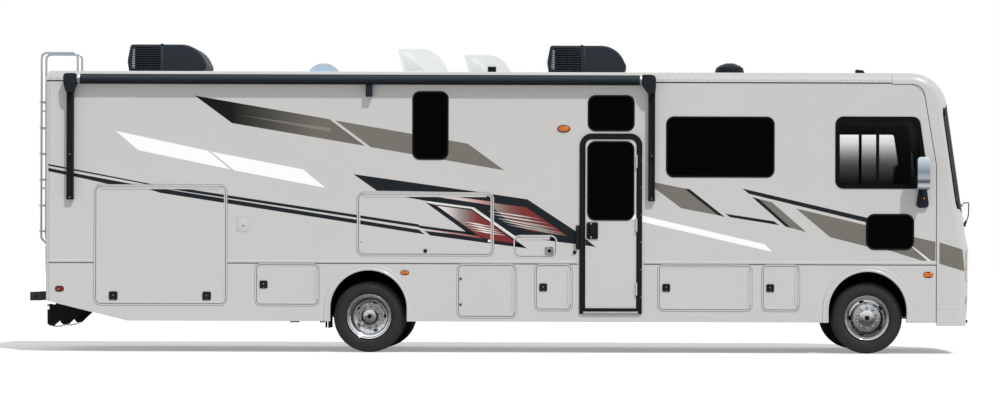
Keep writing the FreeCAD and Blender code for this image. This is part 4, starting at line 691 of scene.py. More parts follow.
def dress_frame():
    """Materials of the carried-over nodes; a rule picks faces by their centre and normal."""
    for key, nodes in DRESSES.items():
        for node in nodes:
            dress(node, key)
    dress("floor_deck", "chassis", [("floor", lambda c, n: n.z > 0.9 and c.z > 1.08)])
    dress("roof_vents_and_domes", "white_plastic", [("skylight", lambda c, n: -2.5 < c.x < -1.9),
                                                    ("trim", lambda c, n: c.x > 2)])
    dress("mirrors", "trim", [("mirror_shell", lambda c, n: c.z > 1.912 and abs(c.y) > 1.36 and n.x > -0.9)])
    dress("signal_lamps", "red", [("amber", lambda c, n: abs(c.y) > 1.279 and c.x > -2)])
    # Back faces of the louvre recesses in near-black: painted shade inside the unit.
    dress("air_conditioners", "shell", [
        ("void_black", lambda c, n: abs(c.y) < 0.34 and abs(n.y) > 0.9 and 3.34 < c.z < 3.64)])
    dress("side_windows", "dark_glass", [("cockpit_glass", lambda c, n: c.x > 3.9 and c.z > 1.9)])
    dress("entry_door", "body", [("satin_black", lambda c, n: c.y < -1.2885 and c.x < 1.2)])
    for node in LEAVES:
        _, hinge_x, _, hinge_z = grown(leaf_sides(node), -0.03)

        def latch(c, n, side=side_of(node), top_hung=node in TOP_HATCHES, hinge_z=hinge_z, hinge_x=hinge_x):
            return c.y * side > 1.2803 and (c.z < hinge_z if top_hung else c.x < hinge_x)

        dress(node, "body", [("chrome" if node == "service_hatch" else "trim", latch)])


def side_of(node):
    return 1 if "left" in node else -1


# ======== film graphics
def split_by(shape, loop):
    """Cuts every face along the edges of a convex loop."""
    count = len(loop)
    for i in range(count):
        x0, z0 = loop[i]
        x1, z1 = loop[(i + 1) % count]
        if math.hypot(x1 - x0, z1 - z0) < 1e-6:
            continue
        bmesh.ops.bisect_plane(shape, geom=shape.verts[:] + shape.edges[:] + shape.faces[:], dist=1e-6,
                               plane_co=(x0, 0, z0), plane_no=(z1 - z0, 0, x0 - x1))


def within(point, loop):
    """True inside a convex loop that runs counter-clockwise in X and Z."""
    for (x0, z0), (x1, z1) in zip(loop, loop[1:] + loop[:1]):
        if (x1 - x0) * (point.z - z0) - (z1 - z0) * (point.x - x0) < -1e-7:
            return False
    return True


def near(loop, box):
    """True where a loop's box meets another box."""
    xs, zs = [x for x, _ in loop], [z for _, z in loop]
    return min(xs) < box[1] and max(xs) > box[0] and min(zs) < box[3] and max(zs) > box[2]


def film(name, key, outlines, layer, territories, holes, wall_y, side):
    """Film cut from outlines: each part rides on the leaf it lies on, and gaps and holes are left out.

    Territories are (body, leaf loop, opening loop, face Y).
    """
    shape = bmesh.new()
    for outline in outlines:
        shape.faces.new([shape.verts.new((x, 0, z)) for x, z in outline])
    bmesh.ops.triangulate(shape, faces=shape.faces[:])
    corners = [point for outline in outlines for point in outline]
    xs, zs = zip(*corners)
    bounds = (min(xs), max(xs), min(zs), max(zs))
    touched = [t for t in territories if near(t[2], bounds)]
    cut_holes = [h for h in holes if near(h, bounds)]
    for _, leaf, opening, _ in touched:
        split_by(shape, leaf)
        split_by(shape, opening)
    for hole in cut_holes:
        split_by(shape, hole)
    owners = {}
    for face in shape.faces:
        middle = face.calc_center_median()
        owner = COACH
        for body, leaf, opening, _ in touched:
            if within(middle, leaf):
                owner = body
            elif within(middle, opening):
                owner = None
        if owner and not any(within(middle, hole) for hole in cut_holes):
            owners.setdefault(owner, []).append([v.co.copy() for v in face.verts])
    shape.free()
    faces_y = {body: y for body, _, _, y in territories}
    for body, faces in owners.items():
        back = faces_y.get(body, wall_y)
        part = bmesh.new()
        for corners in faces:
            part.faces.new([part.verts.new((c.x, back - side * FILM_SINK, c.z)) for c in corners])
        bmesh.ops.remove_doubles(part, verts=part.verts, dist=1e-5)
        bmesh.ops.dissolve_limit(part, angle_limit=0.01, verts=part.verts[:], edges=part.edges[:])
        lifted = bmesh.ops.extrude_face_region(part, geom=part.faces[:], use_keep_orig=True)
        for vert in (g for g in lifted["geom"] if isinstance(g, bmesh.types.BMVert)):
            vert.co.y = back + side * FILM * (layer + 1)
        piece(f"{name}_{body}", part, key, body, smooth=0)


def tapered(x0, z0, x1, z1, width, widest):
    """Thin spear between two points."""
    x, z = x0 + (x1 - x0) * widest, z0 + (z1 - z0) * widest
    return [(x0, z0), (x, z + width / 2), (x1, z1), (x, z - width / 2)]


# rows of both: start and end in X and Z, width, share of the length at which it is widest
STREAKS = [tapered(*row) for row in [
    (-0.169, 1.662, 0.48, 1.566, 0.016, 0.6), (-0.12, 1.624, 0.573, 1.512, 0.021, 0.6),
    (-0.06, 1.578, 0.67, 1.452, 0.027, 0.65), (0, 1.544, 0.735, 1.402, 0.028, 0.65),
    (0.06, 1.505, 0.775, 1.374, 0.022, 0.65)]]
LOWER_STREAKS = [tapered(*row) for row in [
    (-0.435, 1.535, -0.075, 1.47, 0.017, 0.4), (-0.41, 1.503, -0.01, 1.432, 0.018, 0.4),
    (-0.372, 1.468, 0.03, 1.402, 0.018, 0.4), (-0.332, 1.436, 0.062, 1.374, 0.017, 0.4)]]
# Rows: name, material, layer, outlines from rear to front.
GRAPHICS = [
    ("sweep_rear", "film_sweep", 0, [[(-3.59, 3.002), (-2.015, 2.73), (-1.596, 2.419), (-3.152, 2.68)]]),
    ("sweep_highlight", "film_highlight", 1, [[(-3.136, 2.787), (-2.001, 2.626), (-2.001, 2.581)]]),
    ("sweep_middle", "film_taupe", 0, [[(-1.945, 2.715), (-0.393, 2.448), (0.035, 2.137), (-1.526, 2.404)]]),
    ("sweep_white", "film_white", 0, [
        [(-4.514, 2.586), (-3.433, 2.356), (-3.174, 2.139), (-4.248, 2.36)],
        [(-3.395, 2.346), (-2.319, 2.141), (-2.059, 1.926), (-3.124, 2.127)]]),
    ("pinstripe_fine", "film_black", 0, [
        [(-5.3, 2.196), (-4.7, 2.083), (-3.99, 1.945), (-4.06, 1.945), (-4.7, 2.062), (-5.3, 2.176)],
        [(-3.97, 1.945), (-3.826, 1.93), (-0.966, 1.503), (-0.95, 1.468), (-3.826, 1.897), (-4.06, 1.945)],
        [(-0.985, 1.493), (-0.39, 1.416), (-0.242, 1.356), (-0.945, 1.458)]]),
    ("pinstripe_broad", "film_black", 0, [
        [(-5.3, 2.15), (-4.85, 2.062), (-4.21, 1.945), (-4.52, 1.945), (-4.85, 2.02), (-5.3, 2.112)],
        [(-4.21, 1.945), (-3.99, 1.915), (-0.964, 1.44), (-0.894, 1.386), (-3.99, 1.862), (-4.25, 1.945)],
        [(-0.899, 1.427), (-0.246, 1.356), (0.157, 1.296), (0.305, 1.225), (-0.827, 1.373)]]),
    ("blade", "film_black", 0, [[(-1.73, 2.087), (-0.24, 1.88), (-1.454, 1.893)]]),
    ("crest_dark", "film_black", 0, [
        [(-1.3, 1.853), (-0.15, 1.842), (-0.095, 1.856), (0.305, 1.799), (0.916, 1.4), (0.916, 1.272),
         (0.641, 1.305), (0.157, 1.373), (-0.319, 1.704), (-0.889, 1.779)],
        [(-0.885, 1.759), (-0.76, 1.729), (-0.225, 1.358), (-0.388, 1.4)],
        [(-0.756, 1.733), (-0.344, 1.685), (-0.123, 1.529), (0.305, 1.225), (0.157, 1.261), (-0.123, 1.501),
         (-0.351, 1.666), (-0.737, 1.712)],
        [(0.916, 1.397), (1.107, 1.244), (0.916, 1.273)]]),
    ("crest_panel", "film_panel", 1, [
        [(-0.75, 1.719), (-0.347, 1.671), (-0.123, 1.513), (0.191, 1.28), (-0.077, 1.313), (-0.242, 1.357)]]),
    ("crest_panel_front", "film_panel_front", 1, [
        [(-0.077, 1.752), (0.291, 1.706), (0.775, 1.372), (0.31, 1.435), (0.06, 1.56), (-0.077, 1.685)]]),
    ("crest_rose", "film_rose", 1, [
        [(-0.93, 1.851), (-0.7, 1.847), (-0.123, 1.771), (-0.077, 1.756), (-0.077, 1.722), (-0.123, 1.73)]]),
    ("stripe_rose", "film_rose_low", 1, [[(-0.95, 1.456), (-0.222, 1.363), (-0.222, 1.335)]]),
    # Pale line along the crest's top edge: body colour lightened as a painted highlight.
    ("crest_edge_line", "film_pale", 0, [
        [(-0.88, 1.773), (-0.345, 1.703), (0.157, 1.371), (0.157, 1.35), (-0.352, 1.688), (-0.84, 1.752)]]),
    ("service_mark", "film_black", 0, [[(0.289, 1.353), (0.62, 1.335), (0.62, 1.312)]]),
    ("nose_taupe", "film_taupe", 0, [
        [(1.74, 2.012), (2.146, 1.931), (2.534, 1.62), (2.104, 1.701), (1.74, 1.975)],
        [(3.012, 1.812), (3.166, 1.775), (3.572, 1.423), (3.393, 1.473)],
        [(3.448, 1.702), (4.294, 1.502), (4.294, 1.255), (3.852, 1.365)],
        [(4.79, 1.381), (5.082, 1.315), (5.082, 1.095), (5.036, 1.095), (4.79, 1.28)],
        [(4.493, 1.228), (4.785, 1.27), (4.99, 1.094), (4.926, 1.094)]]),
    ("nose_dark", "film_black", 0, [
        [(2.14, 1.932), (2.205, 1.923), (2.617, 1.599), (2.534, 1.62)],
        [(2.623, 1.637), (3.191, 1.551), (3.256, 1.505), (2.677, 1.597)],
        [(2.82, 1.933), (4.294, 1.592), (4.294, 1.536), (2.898, 1.871)],
        [(2.933, 1.834), (3.012, 1.812), (3.393, 1.473), (3.327, 1.489)]]),
    ("nose_white", "film_white", 0, [
        [(1.514, 1.573), (1.562, 1.621), (1.6, 1.624), (3.083, 1.281), (3.172, 1.193), (1.6, 1.551)]]),
    ("nose_pale_line", "film_pale", 0, [[(4.77, 1.29), (4.8, 1.276), (5.03, 1.094), (4.992, 1.094)]]),
    ("crest_streaks", "film_streak", 2, STREAKS),
    ("crest_lower_streaks", "film_pale", 2, LOWER_STREAKS),
]
CAP_BAND = [(5.129, 1.31), (5.4, 1.227), (5.425, 0.972), (5.129, 1.06)]


def graphics():
    """The same graphics on both sides; the driver's side runs over its two slide rooms."""
    right = []
    for node in TOP_HATCHES:
        loops = [rounded_loop(leaf_sides(node), HATCH_CORNER, grow, 4) for grow in (0, DOOR_GAP + 0.001)]
        right.append((node, *loops, WALL_Y))
    right.append(("entry_door", rounded_loop(grown(ENTRY_FRAME, -0.068), 0.072, -0.001, 4),
                  rounded_loop(ENTRY_FRAME, 0.1, 0, 4), WALL_Y - 0.008))
    left = []
    for node in SLIDES:
        flange = rounded_loop(box_sides(node), 0.03, -0.001, 2)
        left.append((node, flange, flange, SLIDE_FACE_Y))

    def holes(windows):
        return [rounded_loop(w[:4], w[4], -0.004, 4) for w in windows]

    right_holes = holes([*RIGHT_WINDOWS, (*ENTRY_GLASS, 0.095)])
    left_holes = holes(LEFT_WINDOWS + [(*box_sides(f"{node}_window"), 0.09) for node in SLIDES])
    for name, key, layer, outlines in GRAPHICS:
        film(f"{name}_right", key, outlines, layer, right, right_holes, WALL_Y, -1)
        film(f"{name}_left", key, outlines, layer, left, left_holes, -WALL_Y, 1)


def laid_on_cap():
    """Band that carries the graphics on round the corner of the front cap."""
    tree = surface_of("front_cap")
    rear_top, front_top, front_foot, rear_foot = (Vector(p) for p in CAP_BAND)
    columns, rows = 24, 8
    for side, name in SIDES:
        layers = []
        for lift in (-0.0006, 0.001):
            grid = []
            for i in range(columns + 1):
                top, foot = rear_top.lerp(front_top, i / columns), rear_foot.lerp(front_foot, i / columns)
                hits = [cast_from_side(tree, side, *top.lerp(foot, j / rows)) for j in range(rows + 1)]
                grid.append([hit + normal * lift for hit, normal in hits])
            layers.append(grid)
        assemble(f"cap_band_{name}", "film_taupe", [(sheet, layers)])


# ======== beads, seals and seams
def door_beads():
    """Raised bead on each leaf and on the wall round it, a seal in the gap and a grey line at the wall bead's foot,
    painted shade where the bead meets the wall.
    """
    rim = DOOR_GAP + TRIM_W
    # columns: kind, material, profile
    beads = [
        # Foot line: painted shade at the outer foot of the wall bead.
        ("foot", "line_grey", [(rim, -0.001), (rim, 0.001), (rim + 0.003, 0.001), (rim + 0.004, -0.001)]),
        ("leaf_bead", "body", [(-TRIM_W, -0.001), (-TRIM_W + 0.004, 0.0026), (-0.004, 0.0026), (0, -0.001)]),
        ("wall_bead", "body", [(DOOR_GAP, -0.001), (DOOR_GAP + 0.004, 0.003), (rim - 0.005, 0.003),
                               (rim, -0.001)]),
        ("seal", "seal", [(0.0005, -0.02), (0.0005, -0.004), (DOOR_GAP - 0.0005, -0.004),
                          (DOOR_GAP - 0.0005, -0.02)]),
    ]
    for node in LEAVES:
        side = side_of(node)
        corner = HATCH_CORNER if node in TOP_HATCHES else DOOR_CORNER
        for kind, key, profile in beads:
            if node == "service_hatch" and kind in ("leaf_bead", "foot"):
                continue
            assemble(f"{node}_{kind}", key, [(bead, leaf_sides(node), corner, profile, side * -WALL_Y, side)],
                     body=node if kind == "leaf_bead" else COACH, slot="skirt_paint" if key == "body" else None)


def window_seals():
    """Slim rubber rims standing on the edges of the bonded panes."""
    profile = [(-0.016, 0.0075), (-0.013, 0.0105), (-0.004, 0.0105), (0.0025, 0.004), (0.0025, -0.0005),
               (-0.004, -0.0005)]
    panes = [(f"curb_{i}", w[:4], w[4], WALL_Y, -1, COACH) for i, w in enumerate(RIGHT_WINDOWS)]
    panes += [(f"driver_{i}", w[:4], w[4], -WALL_Y, 1, COACH) for i, w in enumerate(LEFT_WINDOWS)]
    panes += [(node, box_sides(f"{node}_window"), 0.09, SLIDE_FACE_Y, 1, node) for node in SLIDES]
    for name, sides, corner, y, side, body in panes:
        assemble(f"window_rim_{name}", "satin_black", [(bead, sides, corner, profile, y, side, 12)],
                 body=body, slot="black_frame")
    rim = [(-0.014, 0.0005), (-0.011, 0.003), (-0.003, 0.003), (0.001, 0.0005)]
    assemble("entry_window_rim", "satin_black", [(bead, ENTRY_GLASS, 0.095, rim, WALL_Y - 0.014, -1, 12)],
             body="entry_door", slot="black_frame")


# ======== wheels
# columns: place, axle, distances of its tyres from the middle, distance to the nuts' face, nut circle,
# hub cap rows
WHEELS = [
    ("front", FRONT_AXLE_X, [WHEEL_Y], 1.176, 0.121,
     [(0.0665, 1.19), (0.0665, 1.2), (0.062, 1.209), (0.044, 1.2155), (0.0265, 1.2165)]),
    ("rear", REAR_AXLE_X, [WHEEL_Y, WHEEL_Y - DUAL_SPACING], 0.947, 0.126,
     [(0.081, 1.085), (0.081, 1.101), (0.077, 1.11), (0.052, 1.1165), (0.0265, 1.1175)]),
]
# columns: distance from the tyre's middle, depth below the crown
TREAD = [(0, 0.01), (0.005, 0.01), (0.007, 0), (0.028, 0.0005), (0.03, 0.011), (0.037, 0.011),
         (0.039, 0.001), (0.062, 0.0025), (0.064, 0.013), (0.071, 0.014), (0.073, 0.004), (0.098, 0.009)]
# columns: radius, distance from the tyre's middle
SIDEWALL = [(0.4, 0.1105), (0.392, 0.1085), (0.389, 0.1135), (0.372, 0.1175), (0.369, 0.1158), (0.352, 0.1215),
            (0.338, 0.1238), (0.322, 0.1232), (0.308, 0.1212), (0.305, 0.1228), (0.29, 0.1165), (0.276, 0.106),
            (0.268, 0.101), (0.258, 0.0975), (0.25, 0.0945)]
SHOULDER_BLOCKS = 66
SIPE_DEPTH = 0.006
TRIM_RIBS = 96


def tyre(shape, x, y):
    """Tyre with five ribs, sipes between its shoulder blocks and rings on its sidewalls."""
    half = [(TYRE_R - depth, out) for out, depth in TREAD[1:]] + SIDEWALL
    profile = [(r, -out) for r, out in reversed(half)] + [(TYRE_R - TREAD[0][1], 0)] + half
    rings = []
    for i, (c, s) in enumerate(circle(SHOULDER_BLOCKS * 2)):
        radii = [r - (SIPE_DEPTH if i % 2 and abs(out) > 0.072 and r > 0.388 else 0) for r, out in profile]
        rings.append([(x + r * c, y + out, TYRE_R + r * s) for r, (_, out) in zip(radii, profile)])
    skin(shape, rings, closed=True)


def nut(shape, centre, out, length=0.03, radius=0.017):
    """Hexagon nut with a domed cap, pointing out along Y."""
    x, y, z = centre
    skin(shape, [[(x + size * c, y + out * along, z + size * s) for c, s in circle(6)] for along, size in (
        (0, radius * 1.25), (0.004, radius * 1.25), (0.004, radius), (length * 0.7, radius),
        (length * 0.92, radius * 0.72), (length, radius * 0.3))])


def trim_ribs(shape, side, axle):
    """Ribs of the trim ring: leaning blocks set round the rim."""
    for i in range(TRIM_RIBS):
        turn = Matrix.Rotation(-side * 2 * math.pi * i / TRIM_RIBS, 4, "Y")
        for vert in bmesh.ops.create_cube(shape, size=1)["verts"]:
            spot = Vector((vert.co.x * 0.0065, vert.co.y * 0.012, 0.2375 + vert.co.z * 0.016))
            spot.y += side * (RIM_LIP_Y - 0.03) - side * 0.35 * (0.2455 - spot.z)
            vert.co = turn @ spot + Vector((axle, 0, TYRE_R))


def wheels():
    """Treaded tyres, nuts, a ribbed trim ring on the rim's lip, and a turned hub cap with a dark middle."""
    lip = RIM_LIP_Y
    ring = [(0.2625, lip - 0.004), (0.2625, lip + 0.0035), (0.257, lip + 0.0075), (0.25, lip + 0.0035),
            (0.244, lip - 0.004)]
    for place, axle, distances, face, across, cap in WHEELS:
        end = cap[-1][1]
        plug = [(0.027, end - 0.003), (0.027, end + 0.004), (0.022, end + 0.005), (0.02, end + 0.0015),
                (0.01, end + 0.0015)]
        for side, name in SIDES:
            body = f"front_wheel_{name}" if place == "front" else f"rear_wheels_{name}"

            def on_hub(rows, segments, closed=False, side=side, centre=(axle, 0, TYRE_R)):
                return lathe, [(r, side * out) for r, out in rows], centre, segments, "Y", closed

            made = assemble(f"tyre_with_tread_{place}_{name}", "rubber",
                            [(tyre, axle, side * distance) for distance in distances], body=body)
            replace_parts(made, f"tyre_{place}_{name}")
            assemble(f"lug_nuts_{place}_{name}", "chrome", [
                (nut, (axle + across * c, side * face, TYRE_R + across * s), side)
                for c, s in circle(10, math.pi / 10)], body=body, smooth=30)
            assemble(f"rim_trim_{place}_{name}", "chrome", [on_hub(ring, 96, True), (trim_ribs, side, axle)],
                     body=body)
            assemble(f"hub_cap_{place}_{name}", "chrome", [on_hub(cap, 48)], body=body)
            assemble(f"hub_plug_{place}_{name}", "satin_black", [on_hub(plug, 40)], body=body)


def hand_holes():
    """Dark slots laid on the dished face of the rear wheels: painted shade in place of open hand holes."""
    for side, name in SIDES:
        tree = surface_of(f"wheel_rear_{name}")
        shape = bmesh.new()
        for c, s in circle(5, math.radians(2)):
            outward, across = Vector((c, s)), Vector((-s, c))
            rings = []
            for size, lift in ((1, -0.001), (1, 0.0012), (0.6, 0.0014), (0.15, 0.0014)):
                ring = []
                for u, v in circle(20):
                    spot = outward * (0.17 + 0.012 * size * u) + across * (0.03 * size * v)
                    hit = cast_from_side(tree, side, REAR_AXLE_X + spot.x, TYRE_R + spot.y)[0]
                    ring.append((hit.x, hit.y + side * lift, hit.z))
                rings.append(ring)
            skin(shape, rings)
        piece(f"hand_holes_{name}", shape, "void_black", f"rear_wheels_{name}", smooth=40)


# ======== fittings on the curb side
AWNING_Y, AWNING_Z = -1.352, 3.19
AWNING_ARMS = (-5.038, 1.758)
AWNING_ENDS = [
    ([(-5.108, 3.254), (-4.962, 3.254), (-4.962, 3.128), (-4.997, 3.03), (-5.079, 3.03), (-5.108, 3.14)],
     [0.045, 0.02, 0.03, 0.02, 0.02, 0.05]),
    ([(1.646, 3.254), (1.806, 3.254), (1.806, 3.12), (1.799, 3.03), (1.717, 3.03), (1.646, 3.128)],
     [0.02, 0.06, 0.04, 0.02, 0.02, 0.03]),
]
CLOTH_X, CLOTH_LENGTH = -4.905, 6.517


def awning_details():
    """Cloth roll with its locking groove, bands, end castings, and the details of the folded arms."""
    rings = []
    for i in range(7):
        radii = [0.0555 if 3 <= k < 7 else 0.059 for k in range(40)]
        rings.append([(CLOTH_X + CLOTH_LENGTH * i / 6, AWNING_Y + r * c, AWNING_Z + r * s)
                      for r, (c, s) in zip(radii, circle(40))])
    assemble("awning_cloth_roll", "awning_cloth", [(skin, rings)], smooth=30)
    assemble("awning_bands", "satin_metal", [
        (lathe, [(0.0605, x0), (0.062, x0 + 0.004), (0.062, x1 - 0.004), (0.0605, x1)],
         (0, AWNING_Y, AWNING_Z), 40, "X") for x0, x1 in ((-4.949, -4.914), (1.618, 1.64))])
    assemble("awning_end_castings", "trim", [(plate, soft_outline(*end), -1.3, -1.4165, 0.01)
                                             for end in AWNING_ENDS], smooth=40, slot="black_frame")
    arms = []
    for x in AWNING_ARMS:
        arms += [(block, (x + off - 0.006, -1.3435, 1.8), (x + off + 0.006, -1.336, 3.02), 0.002)
                 for off in (-0.022, 0.022)]
        arms += [(block, (x - 0.036, -1.347, 1.782), (x + 0.036, -1.284, 1.83), 0.006),
                 (block, (x - 0.034, -1.346, 2.28), (x + 0.034, -1.3, 2.34), 0.005)]
    assemble("awning_arm_details", "satin_black", arms, slot="black_frame")
    assemble("awning_rivets", "satin_metal", [(disc, x, z, 0.008, -1.34, -1.3495, 12)
                                              for x in AWNING_ARMS for z in (3.062, 2.31, 1.806)])


def roof_edges():
    """Drip rail with its row of screws along each roof edge, ending at the front cap."""
    for side, name in SIDES:
        assemble(f"drip_rail_{name}", "body",
                 [(side_block, side, -5.322, 4.57, 1.276, 1.292, 3.1765, 3.19, 0.003)])
        # Dark strip under the drip rail: painted shadow of the rail.
        assemble(f"drip_rail_shadow_strip_{name}", "seal",
                 [(side_block, side, -5.32, 4.57, 1.278, 1.284, 3.1655, 3.1765, 0.001)])
        assemble(f"drip_rail_screws_{name}", "satin_metal", [
            (disc, -5.28 + i * 0.077, 3.205, 0.0045, side * 1.2795, side * 1.2845, 8) for i in range(128)])


def open_arch(inset, steps=10):
    """Outline of the entry frame from one foot over the top to the other, moved inwards."""
    x0, x1, z0, z1 = ENTRY_FRAME
    radius = 0.14 - inset
    x0, x1, z1 = x0 + inset, x1 - inset, z1 - inset
    points = [(x0, z0 + 0.001)]
    for cx, start in ((x0 + radius, math.pi), (x1 - radius, math.pi / 2)):
        for i in range(steps + 1):
            angle = start - math.pi / 2 * i / steps
            points.append((cx + radius * math.cos(angle), z1 - radius + radius * math.sin(angle)))
    return points + [(x1, z0 + 0.001)]


def entry_details():
    x0, x1, z0, _ = ENTRY_FRAME
    ribs = bmesh.new()
    for inset, width in ((0.004, 0.02), (0.04, 0.019)):
        outer, inner = open_arch(inset), open_arch(inset + width)
        for a, b, c, d in zip(outer, outer[1:], inner[1:], inner):
            low, high = ([ribs.verts.new((p[0] * scale + shift, y, p[1])) for p in (a, b, c, d)]
                         for scale, shift, y in ((1, 0, -1.2975), (0.9997, 0.0003 * 1.2835, -1.3035)))
            ribs.faces.new(high)
            for i in range(4):
                j = (i + 1) % 4
                ribs.faces.new((low[i], low[j], high[j], high[i]))
    piece("entry_frame_ribs", ribs, "satin_black", smooth=0, slot="black_frame")
    assemble("entry_sill", "satin_black", [
        (block, (x0 + 0.045, -1.306, z0 + 0.03), (x1 - 0.045, -1.29, z0 + 0.062), 0.004)], slot="black_frame")
    heights = [z0 + 0.008 + i * 0.005 for i in range(4)]
    assemble("entry_threshold", "aluminium", [
        (block, (x0 + 0.045, -1.31, z0 + 0.004), (x1 - 0.045, -1.284, z0 + 0.028), 0.003),
        *((block, (x0 + 0.05, -1.3115, z), (x1 - 0.05, -1.309, z + 0.002)) for z in heights)])
    assemble("entry_frame_screws", "satin_metal", [
        (disc, x1 - 0.011, z, 0.0055, -1.303, -1.305, 10) for z in (0.66, 0.98, 1.3, 1.62, 1.94, 2.26)])


# Rows: name, material, body, forms; a form is its helper and the values that follow the shape.
FITTINGS = [
    ("entry_lock_screws", "satin_metal", "entry_door", [
        (disc, 1.053, 1.512, 0.01, -1.3145, -1.317, 16), (disc, 1.053, 1.356, 0.013, -1.2995, -1.306, 16),
        *((disc, x, z, 0.005, -1.299, -1.302, 10) for z in (1.522, 1.345) for x in (1.012, 1.125))]),
    ("door_holdback", "satin_black", COACH, [
        (disc, 0.86, 1.179, 0.021, -1.28, -1.298, 20), (disc, 0.86, 1.179, 0.009, -1.297, -1.306, 16)]),
    ("grab_handle_screws", "satin_metal", COACH, [
        (disc, 0.894, z, 0.006, -1.2875, -1.2915, 10) for z in (1.232, 1.478)]),
    ("small_lid", "body", COACH, [
        (plate, rounded_loop((-3.089, -2.964, 1.417, 1.575), 0.012), -1.28, -1.2835, 0.002),
        (bead, (-3.089, -2.964, 1.417, 1.575), 0.012, [(0.001, 0), (0.003, 0.004), (0.007, 0.004), (0.009, 0)],
         -1.28)]),
    ("small_lid_pull", "satin_black", COACH, [
        (block, (-3.034, -1.2865, 1.478), (-3.004, -1.283, 1.483), 0.001),
        (block, (-3.014, -1.2865, 1.47), (-3.01, -1.283, 1.492), 0.001)]),
    ("tv_hatch_button", "white_plastic", "tv_hatch", [(disc, -0.14, 1.31, 0.016, -1.28, -1.289, 20)]),
    ("tv_hatch_stud", "satin_metal", "tv_hatch", [
        (block, (-1.637, -1.288, 1.29), (-1.628, -1.2795, 1.308), 0.002)]),
    ("service_latch_eye", "satin_black", "service_hatch", [(disc, 0.564, 1.197, 0.022, -1.2935, -1.2965, 20)]),
    ("vent_cover_bracket", "satin_black", COACH, [
        (block, (-0.235, 0.574, 3.402), (-0.136, 0.589, 3.466), 0.004),
        (block, (-0.222, 0.57, 3.378), (-0.204, 0.588, 3.404), 0.003),
        (block, (-0.166, 0.57, 3.378), (-0.148, 0.588, 3.404), 0.003)]),
    ("antenna_dome_skin", "trim", COACH, [(lathe, [
        (0.186, 0), (0.186, 0.018), (0.181, 0.022), (0.174, 0.085), (0.176, 0.088), (0.176, 0.094),
        (0.17, 0.097), (0.163, 0.126), (0.12, 0.156), (0.075, 0.172), (0.03, 0.1795)], (2.715, 0, ROOF_Z), 56, "Z")]),
    ("trailer_socket", "satin_black", COACH, [
        (lathe, [(0.02, -5.505), (0.024, -5.5), (0.024, -5.47), (0.018, -5.465), (0.018, -5.44)],
         (0, 0.255, 0.455), 24, "X"),
        (block, (-5.505, 0.229, 0.47), (-5.498, 0.281, 0.486), 0.002),
        (block, (-5.485, 0.238, 0.47), (-5.445, 0.272, 0.6), 0.003)]),
    ("hitch_pin", "satin_metal", COACH, [
        (tube, [(-5.446, -0.062, 0.501), (-5.446, 0.062, 0.501)], 0.0078, 14),
        (tube, [(-5.446, -0.06, 0.501), (-5.446, -0.078, 0.501), (-5.446, -0.082, 0.47)], 0.0078, 14, 0.01)]),
    ("tow_hooks", "chassis", COACH, [
        (tube, [(5.44, y, 0.405), (5.44, y, 0.362), (5.505, y, 0.362), (5.505, y, 0.395)], 0.011, 12, 0.018)
        for y in (-0.8, 0.8)]),
    ("mud_flaps", "rubber", COACH, [
        (side_block, side, -2.026, -2.014, 0.76, 1.225, 0.285, 0.56, 0.003) for side, _ in SIDES]),
    ("underbody_brackets", "chassis", COACH, [
        (side_block, side, *sizes, 0.003) for side, _ in SIDES for sizes in (
            (-2.034, -2.006, 0.62, 1.228, 0.545, 0.585), (-2.469, -2.363, 1.19, 1.25, 0.35, 0.372),
            (-2.123, -2.066, 1.19, 1.25, 0.35, 0.372), (-2.055, -2.036, 1.2, 1.262, 0.29, 0.368))]),
]


def fittings():
    for name, key, body, forms in FITTINGS:
        assemble(name, key, forms, body=body)
    assemble("entry_paddle_face", "satin_black",
             [(block, (1.04, -1.3265, 1.385), (1.092, -1.3125, 1.49), 0.006, 3)],
             body="entry_door", smooth=30)
    assemble("ladder_rung_grips", "rubber", [
        (block, (x - 0.0016, -0.975, z - 0.0015), (x + 0.0016, -0.685, z + 0.0018))
        for z in (1.4195 + 0.305 * i for i in range(6)) for x in (-5.456 + k * 0.0095 for k in range(5))],
        smooth=0)
    for node in LEAVES:
        if node in ("right_compartment_door_2", "tv_hatch", "service_hatch"):
            continue
        side = side_of(node)
        x0, x1, z0, z1 = leaf_sides(node)
        places = [(x0 + 0.079, (z0 + z1) / 2)]
        if node == "rear_hatch":
            places = [(x0 + 0.204, z0 + 0.089), (x1 - 0.214, z0 + 0.089)]
        assemble(f"{node}_key", "satin_metal", [
            form for x, z in places for form in (
                (disc, x, z - 0.036, 0.0065, side * 1.2885, side * 1.2915, 14),
                (disc, x, z + 0.004, 0.007, side * 1.2963, side * 1.2975, 12))], body=node)
        assemble(f"{node}_grip", "satin_black", [
            (side_block, side, x - 0.022, x + 0.022, 1.2935, 1.2965, z - 0.012, z + 0.02, 0.003)
            for x, z in places], body=node)


# ======== roof
AC_STARTS = (-4.529, 0.51)
AC_HALF, AC_H, AC_RECESS = 0.35, 0.37, 0.022
# columns: strap's middle, front end of the crease
COOLER_STRAPS = [(-4.108, -3.62), (0.95, 1.4)]
VENT_COVERS = ((-1.272, -0.25), (-0.524, 0.8))


